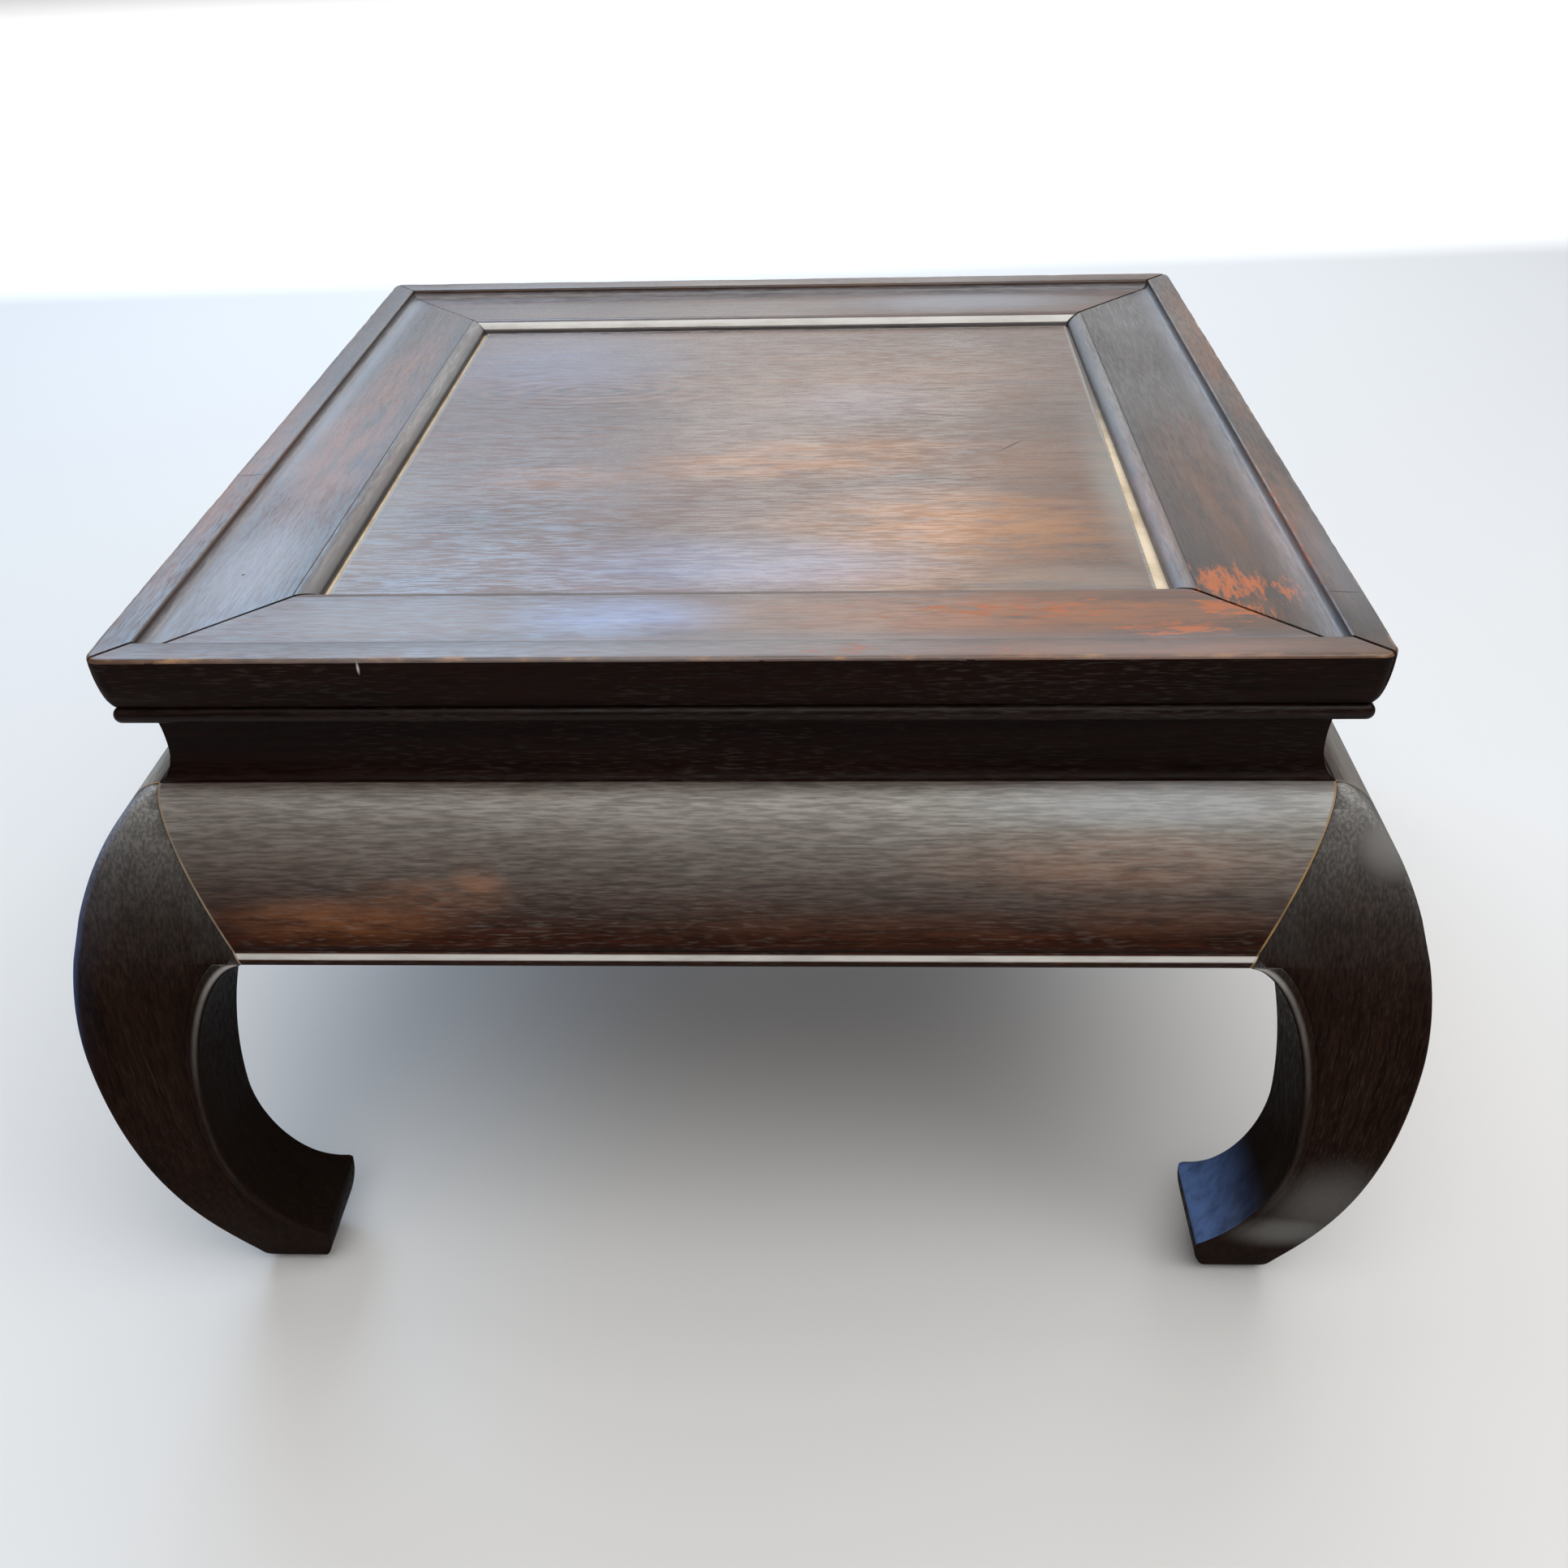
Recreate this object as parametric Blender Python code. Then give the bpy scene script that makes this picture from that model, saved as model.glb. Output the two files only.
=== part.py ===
"""Low square urn table: a waisted stand with bulging aprons and inward-turned hoof feet.

Metres, +Z up, origin on the floor under the middle of the top, front face towards -Y.
Each profile below is a list of (r, z): r is the distance from the table's middle plane.
"""
import math

import bmesh
import bpy

# Fit: the gap between two faces that touch, and how far a cutting block runs past its face
FIT = 0.0003
OVERCUT = 0.010

# Shading: an edge that turns more than this stays crisp
CRISP_DEG = 28

# Top frame: four mitred rails with a raised lip, a rounded inner nose and a curved-in edge
TOP_SIDE = 0.500
RAIL_W = 0.067
FRAME_T = 0.024
LIP_W = 0.015
LIP_H = 0.005
LIP_ROUND = 0.0015
LIP_COVE = 0.0020
NOSE_RUN = 0.0100
NOSE_DROP = 0.0045
EDGE_RUN_IN = 0.0057
EDGE_FLAT = 0.0030
EDGE_START_DEG = 80
EDGE_STEPS = 8
ROUND_STEPS = 3
NOSE_STEPS = 6
CORNER_ROUND = 0.007
CORNER_STEPS = 6

# Corner joints of the frame: a blind tenon on the front and back rails
RAIL_TENON_W = 0.030
RAIL_TENON_INSET = 0.014
RAIL_TENON_FLOOR = 0.0015
RAIL_TENON_ROOF = 0.0045
RAIL_TENON_COVER = 0.012

# Floating panel: its tongue runs in the rails' groove, and it has shrunk away from the right rail
PANEL_DROP = 0.0055
PANEL_T = 0.0075
TONGUE_T = 0.0040
TONGUE_REBATE = 0.0015
TONGUE_L = 0.0065
TONGUE_PLAY = 0.0015
PANEL_SHOULDER = 0.0012
PANEL_SHRINK = 0.0030
PANEL_ROUND = 0.0008

# Battens: dovetailed across the panel's underside, lapped into the front and back rails
BATTEN_SPACING = 0.170
BATTEN_W = 0.024
BATTEN_H = 0.016
DOVETAIL_ROOT_W = 0.011
DOVETAIL_TIP_W = 0.015
DOVETAIL_H = 0.0025
LAP_W = 0.014
LAP_L = 0.014

# Bead strip under the frame
STRIP_INSET = 0.0034
STRIP_H = 0.0075
STRIP_STEPS = 6

# Waist: a board with a hollow face and a tongue on each long edge
WAIST_H = 0.0313
WAIST_TOP_INSET = 0.0135
WAIST_T = 0.0145
WAIST_COVE = 0.0026
WAIST_COVE_SHARE = 0.43
WAIST_STEPS = 5
WAIST_TONGUE_IN = 0.008
WAIST_TONGUE_W = 0.004
WAIST_TONGUE_H = 0.003

# Apron: a bulging board on a slanting back, with a bead along its lower edge
APRON_TOP_INSET = 0.0108
APRON_H = 0.0643
APRON_FOOT_T = 0.026
APRON_STEPS = 14
BEAD_W = 0.0060
BEAD_PROUD = 0.0010
BEAD_CREST = (0.20, 0.45)
BEAD_LINE_STEPS = 60

# Leg: outer curve, from the apron's top out to the bulge and in to the foot
LEG_OPENING_H = 0.222
BULGE_OUT = 0.0455
BULGE_DROP = 0.1178
SHOULDER_RUN = 0.0201
SHOULDER_DROP = 0.0024
BULGE_PULL_UP = 0.54
BULGE_PULL_DOWN = 0.54
FOOT_TUCK = 0.0341
FOOT_RUN = 0.0092
FOOT_RISE = 0.0295
FOOT_SOFT = 0.0055
ARRIS_R = 0.0040
ARRIS_SHARE = 0.6
ARRIS_STEPS = 4

# Leg: inner curve, from the apron's end out to the neck and in to the hoof's tip
SHOULDER_W = 0.0723
CORNER_RUN = 0.0211
CORNER_DROP = 0.0034
NECK_Z = 0.1167
NECK_W = 0.0430
NECK_PULL_UP = 0.45
NECK_PULL_DOWN = 0.27
HOOF_REACH = 0.0393
HOOF_H = 0.0345
HOOF_RUN = 0.0188
HOOF_RISE = 0.0191
HOOF_END_PULL = 0.80
PAD_PULL = 0.70
PAD_W = 0.0286
HEAD_SIDE = 0.0315
FLARE_H = 0.016
LEG_STEPS = 15
HOOF_STEPS = 8
SHOULDER_STEPS = 10
SPIKE_CUT = 0.0005
BEAD_FADE_Z = 0.060

# Leg joints: two tenons into the frame and a dovetail key into each apron
LONG_TENON_H = 0.012
SHORT_TENON_H = 0.005
TENON_A = 0.0095
TENON_B = 0.0120
TENON_EDGE = 0.0012
KEY_ROOT_W = 0.0085
KEY_TIP_W = 0.0125
KEY_D = 0.005
KEY_ROOT_D = 0.004
KEY_RISE = 0.015
KEY_TOP_CUT = 0.002
KEY_IN = 0.011

# Heights, added up from the floor
Z_APRON = LEG_OPENING_H
Z_APRON_TOP = Z_APRON + APRON_H
Z_WAIST = Z_APRON_TOP + FIT
Z_STRIP = Z_WAIST + WAIST_H + FIT
Z_FRAME = Z_STRIP + STRIP_H + FIT
Z_RIM = Z_FRAME + FRAME_T
Z_FLAT = Z_RIM - LIP_H
Z_PANEL_TOP = Z_FLAT - PANEL_DROP
Z_PANEL = Z_PANEL_TOP - PANEL_T
Z_TONGUE_TOP = Z_PANEL_TOP - TONGUE_REBATE
Z_TONGUE = Z_TONGUE_TOP - TONGUE_T
Z_BATTEN_TOP = Z_PANEL - FIT
Z_BULGE = Z_APRON_TOP - BULGE_DROP

# Distances from the middle
HALF = TOP_SIDE / 2
R_RAIL_IN = HALF - RAIL_W
R_WAIST_TOP = HALF - WAIST_TOP_INSET
R_WAIST_IN = R_WAIST_TOP - WAIST_T
R_APRON_TOP = HALF - APRON_TOP_INSET
R_BULGE = R_APRON_TOP + BULGE_OUT
R_FOOT = R_BULGE - FOOT_TUCK
R_HEAD_OUT = R_WAIST_IN - FIT
R_HEAD_IN = R_HEAD_OUT - HEAD_SIDE
R_FAR = R_BULGE + OVERCUT

SIDES = ("front", "right", "back", "left")
CORNERS = ("front_right", "back_right", "back_left", "front_left")


def bezier(span, t):
    """Point at t on a cubic span of four (r, z) points."""
    s = 1 - t
    weights = (s ** 3, 3 * s * s * t, 3 * s * t * t, t ** 3)
    return tuple(sum(w * p[axis] for w, p in zip(weights, span)) for axis in (0, 1))


def where_height(span, z):
    """Place t at which a span that only goes down passes height z."""
    low, high = 0.0, 1.0
    for _ in range(40):
        middle = (low + high) / 2
        if bezier(span, middle)[1] > z:
            low = middle
        else:
            high = middle
    return (low + high) / 2


UPPER_OUTER = (
    (R_APRON_TOP, Z_APRON_TOP),
    (R_APRON_TOP + SHOULDER_RUN, Z_APRON_TOP - SHOULDER_DROP),
    (R_BULGE, Z_BULGE + BULGE_PULL_UP * BULGE_DROP),
    (R_BULGE, Z_BULGE),
)
LOWER_OUTER = (
    (R_BULGE, Z_BULGE),
    (R_BULGE, Z_BULGE * (1 - BULGE_PULL_DOWN)),
    (R_FOOT + FOOT_RUN, FOOT_RISE),
    (R_FOOT, 0.0),
)


def outer_at(z):
    """The bulging outer face of apron and leg at height z."""
    span = UPPER_OUTER if z > Z_BULGE else LOWER_OUTER
    return bezier(span, where_height(span, z))[0]


def face_heights(low, high, steps):
    """Heights up the bulging face from low to high, closer together where it turns over at the top."""
    start = where_height(UPPER_OUTER, low)
    stop = where_height(UPPER_OUTER, high)
    return [bezier(UPPER_OUTER, start + (stop - start) * k / steps)[1] for k in range(steps + 1)]


R_CORNER = outer_at(Z_APRON) - SHOULDER_W
R_NECK = outer_at(NECK_Z) - NECK_W
R_TIP = R_FOOT - HOOF_REACH
R_PAD_IN = R_FOOT - PAD_W
R_APRON_BACK = outer_at(Z_APRON) - APRON_FOOT_T
NECK_SPAN_UP = Z_APRON - NECK_Z
NECK_SPAN_DOWN = NECK_Z - HOOF_H
UPPER_INNER = (
    (R_CORNER, Z_APRON),
    (R_CORNER + CORNER_RUN, Z_APRON - CORNER_DROP),
    (R_NECK, NECK_Z + NECK_PULL_UP * NECK_SPAN_UP),
    (R_NECK, NECK_Z),
)
LOWER_INNER = (
    (R_NECK, NECK_Z),
    (R_NECK, NECK_Z - NECK_PULL_DOWN * NECK_SPAN_DOWN),
    (R_TIP + HOOF_RUN, HOOF_H + HOOF_RISE),
    (R_TIP, HOOF_H),
)
HOOF_END = (
    (R_TIP, HOOF_H),
    (R_TIP, HOOF_H * (1 - HOOF_END_PULL)),
    (R_PAD_IN + (R_TIP - R_PAD_IN) * PAD_PULL, 0.0),
    (R_PAD_IN, 0.0),
)


def mitre_at(z):
    """Half length of the apron's face at height z: its slanting joint with the leg."""
    rise = (z - Z_APRON) / APRON_H
    return R_CORNER + (R_APRON_TOP - R_CORNER) * rise


def back_at(z):
    """The apron's slanting back at height z."""
    rise = (z - Z_APRON) / APRON_H
    return R_APRON_BACK + (R_WAIST_IN - R_APRON_BACK) * rise


def wood(name, colour, roughness):
    """Stained and polished hardwood."""
    material = bpy.data.materials.new(name)
    material.use_nodes = True
    shader = material.node_tree.nodes["Principled BSDF"]
    shader.inputs["Base Color"].default_value = (*colour, 1.0)
    shader.inputs["Roughness"].default_value = roughness
    shader.inputs["Metallic"].default_value = 0.0
    return material


def add_object(name, verts, faces, material=None):
    """A closed mesh as a named object, with its faces turned outwards."""
    mesh = bpy.data.meshes.new(name)
    mesh.from_pydata(verts, [], faces)
    shell = bmesh.new()
    shell.from_mesh(mesh)
    bmesh.ops.recalc_face_normals(shell, faces=shell.faces)
    shell.to_mesh(mesh)
    shell.free()
    piece = bpy.data.objects.new(name, mesh)
    bpy.context.scene.collection.objects.link(piece)
    if material:
        mesh.materials.append(material)
    return piece


def loft(name, rings, material=None):
    """Closed skin over rings of equally many points, capped at both ends."""
    count = len(rings[0])
    verts = [point for ring in rings for point in ring]
    faces = [list(range(count)), list(range(len(verts) - count, len(verts)))]
    for ring in range(len(rings) - 1):
        base = ring * count
        for k in range(count):
            turn = (k + 1) % count
            faces.append([base + k, base + turn, base + count + turn, base + count + k])
    return add_object(name, verts, faces, material)


def strip(name, profile, end_at, material=None):
    """A profile run along X, each of its points ending at plus and minus end_at(r, z)."""
    rings = [[(sign * end_at(r, z), -r, z) for r, z in profile] for sign in (-1, 1)]
    return loft(name, rings, material)


def block(name, low, high):
    """A plain box between two corners."""
    x0, y0, z0 = low
    x1, y1, z1 = high
    outline = ((x0, y0), (x1, y0), (x1, y1), (x0, y1))
    return loft(name, [[(x, y, z) for x, y in outline] for z in (z0, z1)])


def boolean(piece, tool, operation):
    """Join a block to a piece, or cut it out; the block turns with the piece."""
    tool.parent = piece
    tool.hide_render = True
    tool.display_type = "WIRE"
    modifier = piece.modifiers.new(tool.name, "BOOLEAN")
    modifier.operation = operation
    modifier.solver = "EXACT"
    modifier.object = tool


def place(piece, quarter, table):
    """Finish a piece made for the front, or the front right corner, and turn it to its own side.

    Its joints are cut for good, its curves are shaded smooth and its arrises stay crisp.
    """
    cut = piece.evaluated_get(bpy.context.evaluated_depsgraph_get())
    piece.data = bpy.data.meshes.new_from_object(cut)
    piece.modifiers.clear()
    for tool in list(piece.children):
        bpy.data.objects.remove(tool, do_unlink=True)
    piece.data.name = piece.name
    piece.data.shade_smooth()
    piece.data.set_sharp_from_angle(angle=math.radians(CRISP_DEG))
    piece.parent = table
    piece.rotation_euler = (0.0, 0.0, quarter * math.pi / 2)


def mitre_end(r, z):
    """End of a strip whose corners meet at 45 degrees in plan."""
    return r - FIT


def arc(centre, radii, start, stop, steps):
    """Points on an elliptical arc from start to stop degrees, both included."""
    points = []
    for k in range(steps + 1):
        angle = math.radians(start + (stop - start) * k / steps)
        points.append((centre[0] + radii[0] * math.cos(angle), centre[1] + radii[1] * math.sin(angle)))
    return points


def rail_profile():
    """Section of a frame rail, from the underside round the edge and the lip to the panel groove."""
    edge_foot = HALF - EDGE_RUN_IN
    edge_h = FRAME_T - LIP_ROUND
    lip_in = HALF - LIP_W
    groove = R_RAIL_IN + TONGUE_L + TONGUE_PLAY
    points = [(edge_foot - EDGE_FLAT, Z_FRAME)]
    points += arc((edge_foot, Z_FRAME + edge_h), (EDGE_RUN_IN, -edge_h), EDGE_START_DEG, 0, EDGE_STEPS)
    points += arc((HALF - LIP_ROUND, Z_RIM - LIP_ROUND), (LIP_ROUND, LIP_ROUND), 0, 90, ROUND_STEPS)[1:]
    points += arc((lip_in + LIP_ROUND, Z_RIM - LIP_ROUND), (LIP_ROUND, LIP_ROUND), 90, 180, ROUND_STEPS)
    points += arc((lip_in - LIP_COVE, Z_FLAT + LIP_COVE), (LIP_COVE, -LIP_COVE), 0, 90, ROUND_STEPS)
    points += arc((R_RAIL_IN + NOSE_RUN, Z_FLAT - NOSE_DROP), (NOSE_RUN, NOSE_DROP), 90, 180, NOSE_STEPS)
    points += [
        (R_RAIL_IN, Z_TONGUE_TOP + FIT),
        (groove, Z_TONGUE_TOP + FIT),
        (groove, Z_TONGUE - FIT),
        (R_RAIL_IN, Z_TONGUE - FIT),
        (R_RAIL_IN, Z_FRAME),
    ]
    return points


def corner_block(name, along, across, levels, end):
    """Box on the front side near one of its ends: spans along X, across to the front, and in height."""
    xs = sorted(end * u for u in along)
    return block(name, (xs[0], -across[1], levels[0]), (xs[1], -across[0], levels[1]))


def rail_tenon(grow):
    """Blind tenon of a long rail, or with grow its mortise, as spans along, across and in height."""
    inner = R_RAIL_IN + RAIL_TENON_INSET
    along = (R_RAIL_IN, HALF - RAIL_TENON_COVER + grow)
    across = (inner - grow, inner + RAIL_TENON_W + grow)
    bottom = Z_FRAME + SHORT_TENON_H + RAIL_TENON_FLOOR
    top = Z_FLAT - RAIL_TENON_ROOF
    return along, across, (bottom - grow, top + grow)


def leg_tenon(grow):
    """Leg tenon under a rail, or with grow its mortise, as spans along and across the rail."""
    inner = R_HEAD_IN + TENON_EDGE
    outer = R_HEAD_OUT - TENON_EDGE
    return (inner - grow, inner + TENON_A + grow), (outer - TENON_B - grow, outer + grow)


def batten_lap(x, grow):
    """Lapped end of a batten, running from front to back, or with grow its housing."""
    reach = R_RAIL_IN + LAP_L + grow
    low = (x - LAP_W / 2 - grow, -reach, Z_FRAME - (OVERCUT if grow else 0.0))
    high = (x + LAP_W / 2 + grow, reach, Z_BATTEN_TOP + grow)
    return low, high


def corner_round(name, end):
    """What is taken off the frame's sharp corner, seen from above."""
    centre = HALF - CORNER_ROUND
    far = HALF + OVERCUT
    outline = arc((centre, centre), (CORNER_ROUND, CORNER_ROUND), 0, 90, CORNER_STEPS)
    outline += [(centre, far), (far, far), (far, centre)]
    levels = (Z_FRAME - OVERCUT, Z_RIM + OVERCUT)
    return loft(name, [[(end * u, -v, z) for u, v in outline] for z in levels])


def add_rails(table, finish):
    """Front and back rails carry the tenons and batten laps, left and right rails the mortises."""
    for quarter, side in enumerate(SIDES):
        rail = strip("rail_" + side, rail_profile(), mitre_end, finish)
        long_rail = side in ("front", "back")
        for end in (-1, 1):
            boolean(rail, corner_round(f"{side}_round_{end}", end), "DIFFERENCE")
            if long_rail:
                along, across, levels = rail_tenon(0.0)
                boolean(rail, corner_block(f"{side}_tenon_{end}", along, across, levels, end), "UNION")
                lap = batten_lap(end * BATTEN_SPACING / 2, FIT)
                boolean(rail, block(f"{side}_housing_{end}", *lap), "DIFFERENCE")
            else:
                along, across, levels = rail_tenon(FIT)
                boolean(rail, corner_block(f"{side}_mortise_{end}", across, along, levels, end), "DIFFERENCE")
            along, across = leg_tenon(FIT)
            levels = (Z_FRAME - OVERCUT, Z_FRAME + FIT + (LONG_TENON_H if long_rail else SHORT_TENON_H))
            boolean(rail, corner_block(f"{side}_leg_mortise_{end}", along, across, levels, end), "DIFFERENCE")
        place(rail, quarter, table)


def add_panel(table, finish):
    """Floating panel: bottom field, tongue all round, raised top field shrunk off the right rail."""
    def outline(spread, right, z):
        x1 = spread - right
        return [(-spread, -spread, z), (x1, -spread, z), (x1, spread, z), (-spread, spread, z)]

    field = R_RAIL_IN - PANEL_SHOULDER
    tongue = R_RAIL_IN + TONGUE_L
    rings = [
        outline(field, PANEL_SHRINK, Z_PANEL),
        outline(field, PANEL_SHRINK, Z_TONGUE),
        outline(tongue, PANEL_SHRINK, Z_TONGUE),
        outline(tongue, PANEL_SHRINK, Z_TONGUE_TOP),
        outline(field, PANEL_SHRINK, Z_TONGUE_TOP),
        outline(field, PANEL_SHRINK, Z_PANEL_TOP - PANEL_ROUND),
        outline(field - PANEL_ROUND, PANEL_SHRINK, Z_PANEL_TOP),
    ]
    panel = loft("top_panel", rings, finish)
    for end in (-1, 1):
        groove = dovetail(f"panel_groove_{end}", end * BATTEN_SPACING / 2, tongue + OVERCUT, FIT)
        boolean(panel, groove, "DIFFERENCE")
    place(panel, 0, table)


def dovetail(name, x, reach, grow):
    """Dovetail ridge on top of a batten, or with grow the panel's groove for it."""
    root = DOVETAIL_ROOT_W / 2 + grow
    tip = DOVETAIL_TIP_W / 2 + grow
    bottom = Z_PANEL - (OVERCUT if grow else DOVETAIL_H)
    top = Z_PANEL + DOVETAIL_H + grow
    section = (
        (x - root, bottom),
        (x + root, bottom),
        (x + root, Z_PANEL),
        (x + tip, top),
        (x - tip, top),
        (x - root, Z_PANEL),
    )
    return loft(name, [[(px, y, pz) for px, pz in section] for y in (-reach, reach)])


def add_battens(table, finish):
    """Two battens across the grain of the panel."""
    for end, side in ((-1, "left"), (1, "right")):
        x = end * BATTEN_SPACING / 2
        reach = R_RAIL_IN - FIT
        low = (x - BATTEN_W / 2, -reach, Z_BATTEN_TOP - BATTEN_H)
        high = (x + BATTEN_W / 2, reach, Z_BATTEN_TOP)
        batten = block("batten_" + side, low, high)
        batten.data.materials.append(finish)
        boolean(batten, block(f"lap_{side}", *batten_lap(x, 0.0)), "UNION")
        ridge = dovetail(f"ridge_{side}", x, R_RAIL_IN - PANEL_SHOULDER, 0.0)
        boolean(batten, ridge, "UNION")
        place(batten, 0, table)


def waist_tongue(grow):
    """Inner and outer distance of the waist's tongues, or with grow of their grooves."""
    inner = R_WAIST_IN + WAIST_TONGUE_IN
    return inner - grow, inner + WAIST_TONGUE_W + grow


def add_bead_strips(table, finish):
    """Half-round strips between frame and waist, grooved below for the waist's tongue."""
    radius = STRIP_H / 2
    centre = (HALF - STRIP_INSET - radius, Z_STRIP + radius)
    inner, outer = waist_tongue(FIT)
    profile = arc(centre, (radius, radius), -90, 90, STRIP_STEPS)
    profile += [
        (R_WAIST_IN, Z_STRIP + STRIP_H),
        (R_WAIST_IN, Z_STRIP),
        (inner, Z_STRIP),
        (inner, Z_STRIP + WAIST_TONGUE_H),
        (outer, Z_STRIP + WAIST_TONGUE_H),
        (outer, Z_STRIP),
    ]
    for quarter, side in enumerate(SIDES):
        place(strip("bead_strip_" + side, profile, mitre_end, finish), quarter, table)


def add_waist(table, finish):
    """Waist boards, hollow on the face, mitred at the corners."""
    z_top = Z_WAIST + WAIST_H
    z_deep = Z_WAIST + WAIST_COVE_SHARE * WAIST_H
    deep = R_WAIST_TOP - WAIST_COVE
    face = arc((R_APRON_TOP, z_deep), (deep - R_APRON_TOP, Z_WAIST - z_deep), 90, 0, WAIST_STEPS)
    face += arc((R_WAIST_TOP, z_deep), (-WAIST_COVE, z_top - z_deep), 0, 90, WAIST_STEPS)[1:]
    inner, outer = waist_tongue(0.0)
    profile = face + [
        (outer, z_top),
        (outer, z_top + WAIST_TONGUE_H),
        (inner, z_top + WAIST_TONGUE_H),
        (inner, z_top),
        (R_WAIST_IN, z_top),
        (R_WAIST_IN, Z_WAIST),
        (inner, Z_WAIST),
        (inner, Z_WAIST - WAIST_TONGUE_H),
        (outer, Z_WAIST - WAIST_TONGUE_H),
        (outer, Z_WAIST),
    ]
    for quarter, side in enumerate(SIDES):
        place(strip("waist_" + side, profile, mitre_end, finish), quarter, table)


def leg_key(name, grow, end, swap):
    """Dovetail key on the leg's core, or with grow the apron's slot for it.

    end is -1 or 1 along the apron; swap turns the key to the apron on the other face.
    """
    centre = R_HEAD_IN + KEY_IN
    bottom = Z_APRON + KEY_RISE - grow
    top = Z_APRON_TOP + (OVERCUT if grow else -KEY_TOP_CUT)
    root = KEY_ROOT_W / 2 + grow
    tip = KEY_TIP_W / 2 + grow
    rings = []
    for z in (bottom, top):
        near = back_at(z) - KEY_ROOT_D
        far = back_at(z) + KEY_D + grow
        quad = ((centre - root, near), (centre + root, near), (centre + tip, far), (centre - tip, far))
        rings.append([(v, -end * u, z) if swap else (end * u, -v, z) for u, v in quad])
    return loft(name, rings)


def apron_mitre(name, end):
    """Wedge beyond the 45 degree plane where two aprons meet behind the leg's face."""
    near = R_HEAD_IN
    outline = ((near - FIT, near), (R_FAR - FIT, R_FAR), (R_FAR, near))
    levels = (Z_APRON - OVERCUT, Z_APRON_TOP + OVERCUT)
    return loft(name, [[(end * u, -v, z) for u, v in outline] for z in levels])


def add_aprons(table, finish):
    """Bulging aprons: bead below, groove above for the waist, slots in the back for the legs' keys."""
    bead_top = Z_APRON + BEAD_W
    low_r = outer_at(Z_APRON)
    profile = [(low_r, Z_APRON)]
    profile += [(low_r + BEAD_PROUD, Z_APRON + BEAD_W * share) for share in BEAD_CREST]
    profile += [(outer_at(z), z) for z in face_heights(bead_top, Z_APRON_TOP, APRON_STEPS)]
    inner, outer = waist_tongue(FIT)
    groove = Z_APRON_TOP - WAIST_TONGUE_H
    profile += [
        (outer, Z_APRON_TOP),
        (outer, groove),
        (inner, groove),
        (inner, Z_APRON_TOP),
        (R_WAIST_IN, Z_APRON_TOP),
        (R_APRON_BACK, Z_APRON),
    ]
    for quarter, side in enumerate(SIDES):
        apron = strip("apron_" + side, profile, lambda r, z: mitre_at(z), finish)
        for end in (-1, 1):
            boolean(apron, leg_key(f"{side}_slot_{end}", FIT, end, False), "DIFFERENCE")
            boolean(apron, apron_mitre(f"{side}_mitre_{end}", end), "DIFFERENCE")
        place(apron, quarter, table)


def bead_line(z):
    """Distance at height z of the bead's far line: the leg's inner curve moved by the bead's width."""
    nearest = None
    for span in (UPPER_INNER, LOWER_INNER):
        for k in range(BEAD_LINE_STEPS):
            r0, z0 = bezier(span, k / BEAD_LINE_STEPS)
            r1, z1 = bezier(span, (k + 1) / BEAD_LINE_STEPS)
            length = math.hypot(r1 - r0, z1 - z0)
            r = r0 - BEAD_W * (z1 - z0) / length
            miss = abs(z0 + BEAD_W * (r1 - r0) / length - z)
            if nearest is None or miss < nearest[0]:
                nearest = (miss, r)
    return nearest[1]


def arris_at(z):
    """Radius of the leg's outer arris at height z; it runs out between the aprons' ends at the top."""
    if z <= Z_APRON:
        return ARRIS_R
    return min(ARRIS_R, ARRIS_SHARE * (outer_at(z) - mitre_at(z)))


def foot_softening(z):
    """How far the foot's outer faces draw in at height z, where the lower edge is rounded off."""
    low = max(0.0, 1.0 - z / FOOT_SOFT)
    return FOOT_SOFT * (1.0 - math.sqrt(1.0 - low * low))


def leg_section(z, inner):
    """Square section of the leg at height z, with rounded arris and a bead along both inner edges."""
    outer = outer_at(z) - foot_softening(z)
    arris = arris_at(z)
    if HOOF_H < z <= Z_APRON:
        widest = outer - arris - BEAD_W - inner
        width = min(max(bead_line(z) - inner, BEAD_W), widest)
        fade = min(1.0, (z - HOOF_H) / BEAD_FADE_Z)
    else:
        width = BEAD_W
        fade = 0.0
    proud = outer + BEAD_PROUD * fade
    half = [
        (outer, inner),
        *((proud, inner + width * share) for share in BEAD_CREST),
        (outer, inner + width),
    ]
    ring = [(inner, inner)] + half
    ring += arc((outer - arris, outer - arris), (arris, arris), 0, 90, ARRIS_STEPS)
    ring += [(v, u) for u, v in reversed(half)]
    return [(u, -v, z) for u, v in ring]


def leg_rings():
    """Sections from the pad up to the apron's top edge."""
    inner = [bezier(HOOF_END, 1 - k / HOOF_STEPS) for k in range(HOOF_STEPS)]
    inner += [bezier(LOWER_INNER, 1 - k / LEG_STEPS) for k in range(LEG_STEPS)]
    inner += [bezier(UPPER_INNER, 1 - k / LEG_STEPS) for k in range(LEG_STEPS + 1)]
    top = Z_APRON_TOP - SPIKE_CUT
    flare = Z_APRON + FLARE_H
    inner.append((R_CORNER - FIT, Z_APRON + FIT))
    inner += [(R_HEAD_IN, z) for z in face_heights(flare, top, SHOULDER_STEPS)]
    return [leg_section(z, r) for r, z in inner]


def apron_space(name, swap):
    """The room that an apron's end takes out of the leg."""
    rings = []
    for z in (Z_APRON - FIT, Z_APRON_TOP + OVERCUT):
        end = mitre_at(z) + FIT
        back = back_at(z) - FIT
        quad = ((0.0, back), (end, back), (end, R_FAR), (0.0, R_FAR))
        rings.append([(v, -u, z) if swap else (u, -v, z) for u, v in quad])
    return loft(name, rings)


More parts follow.
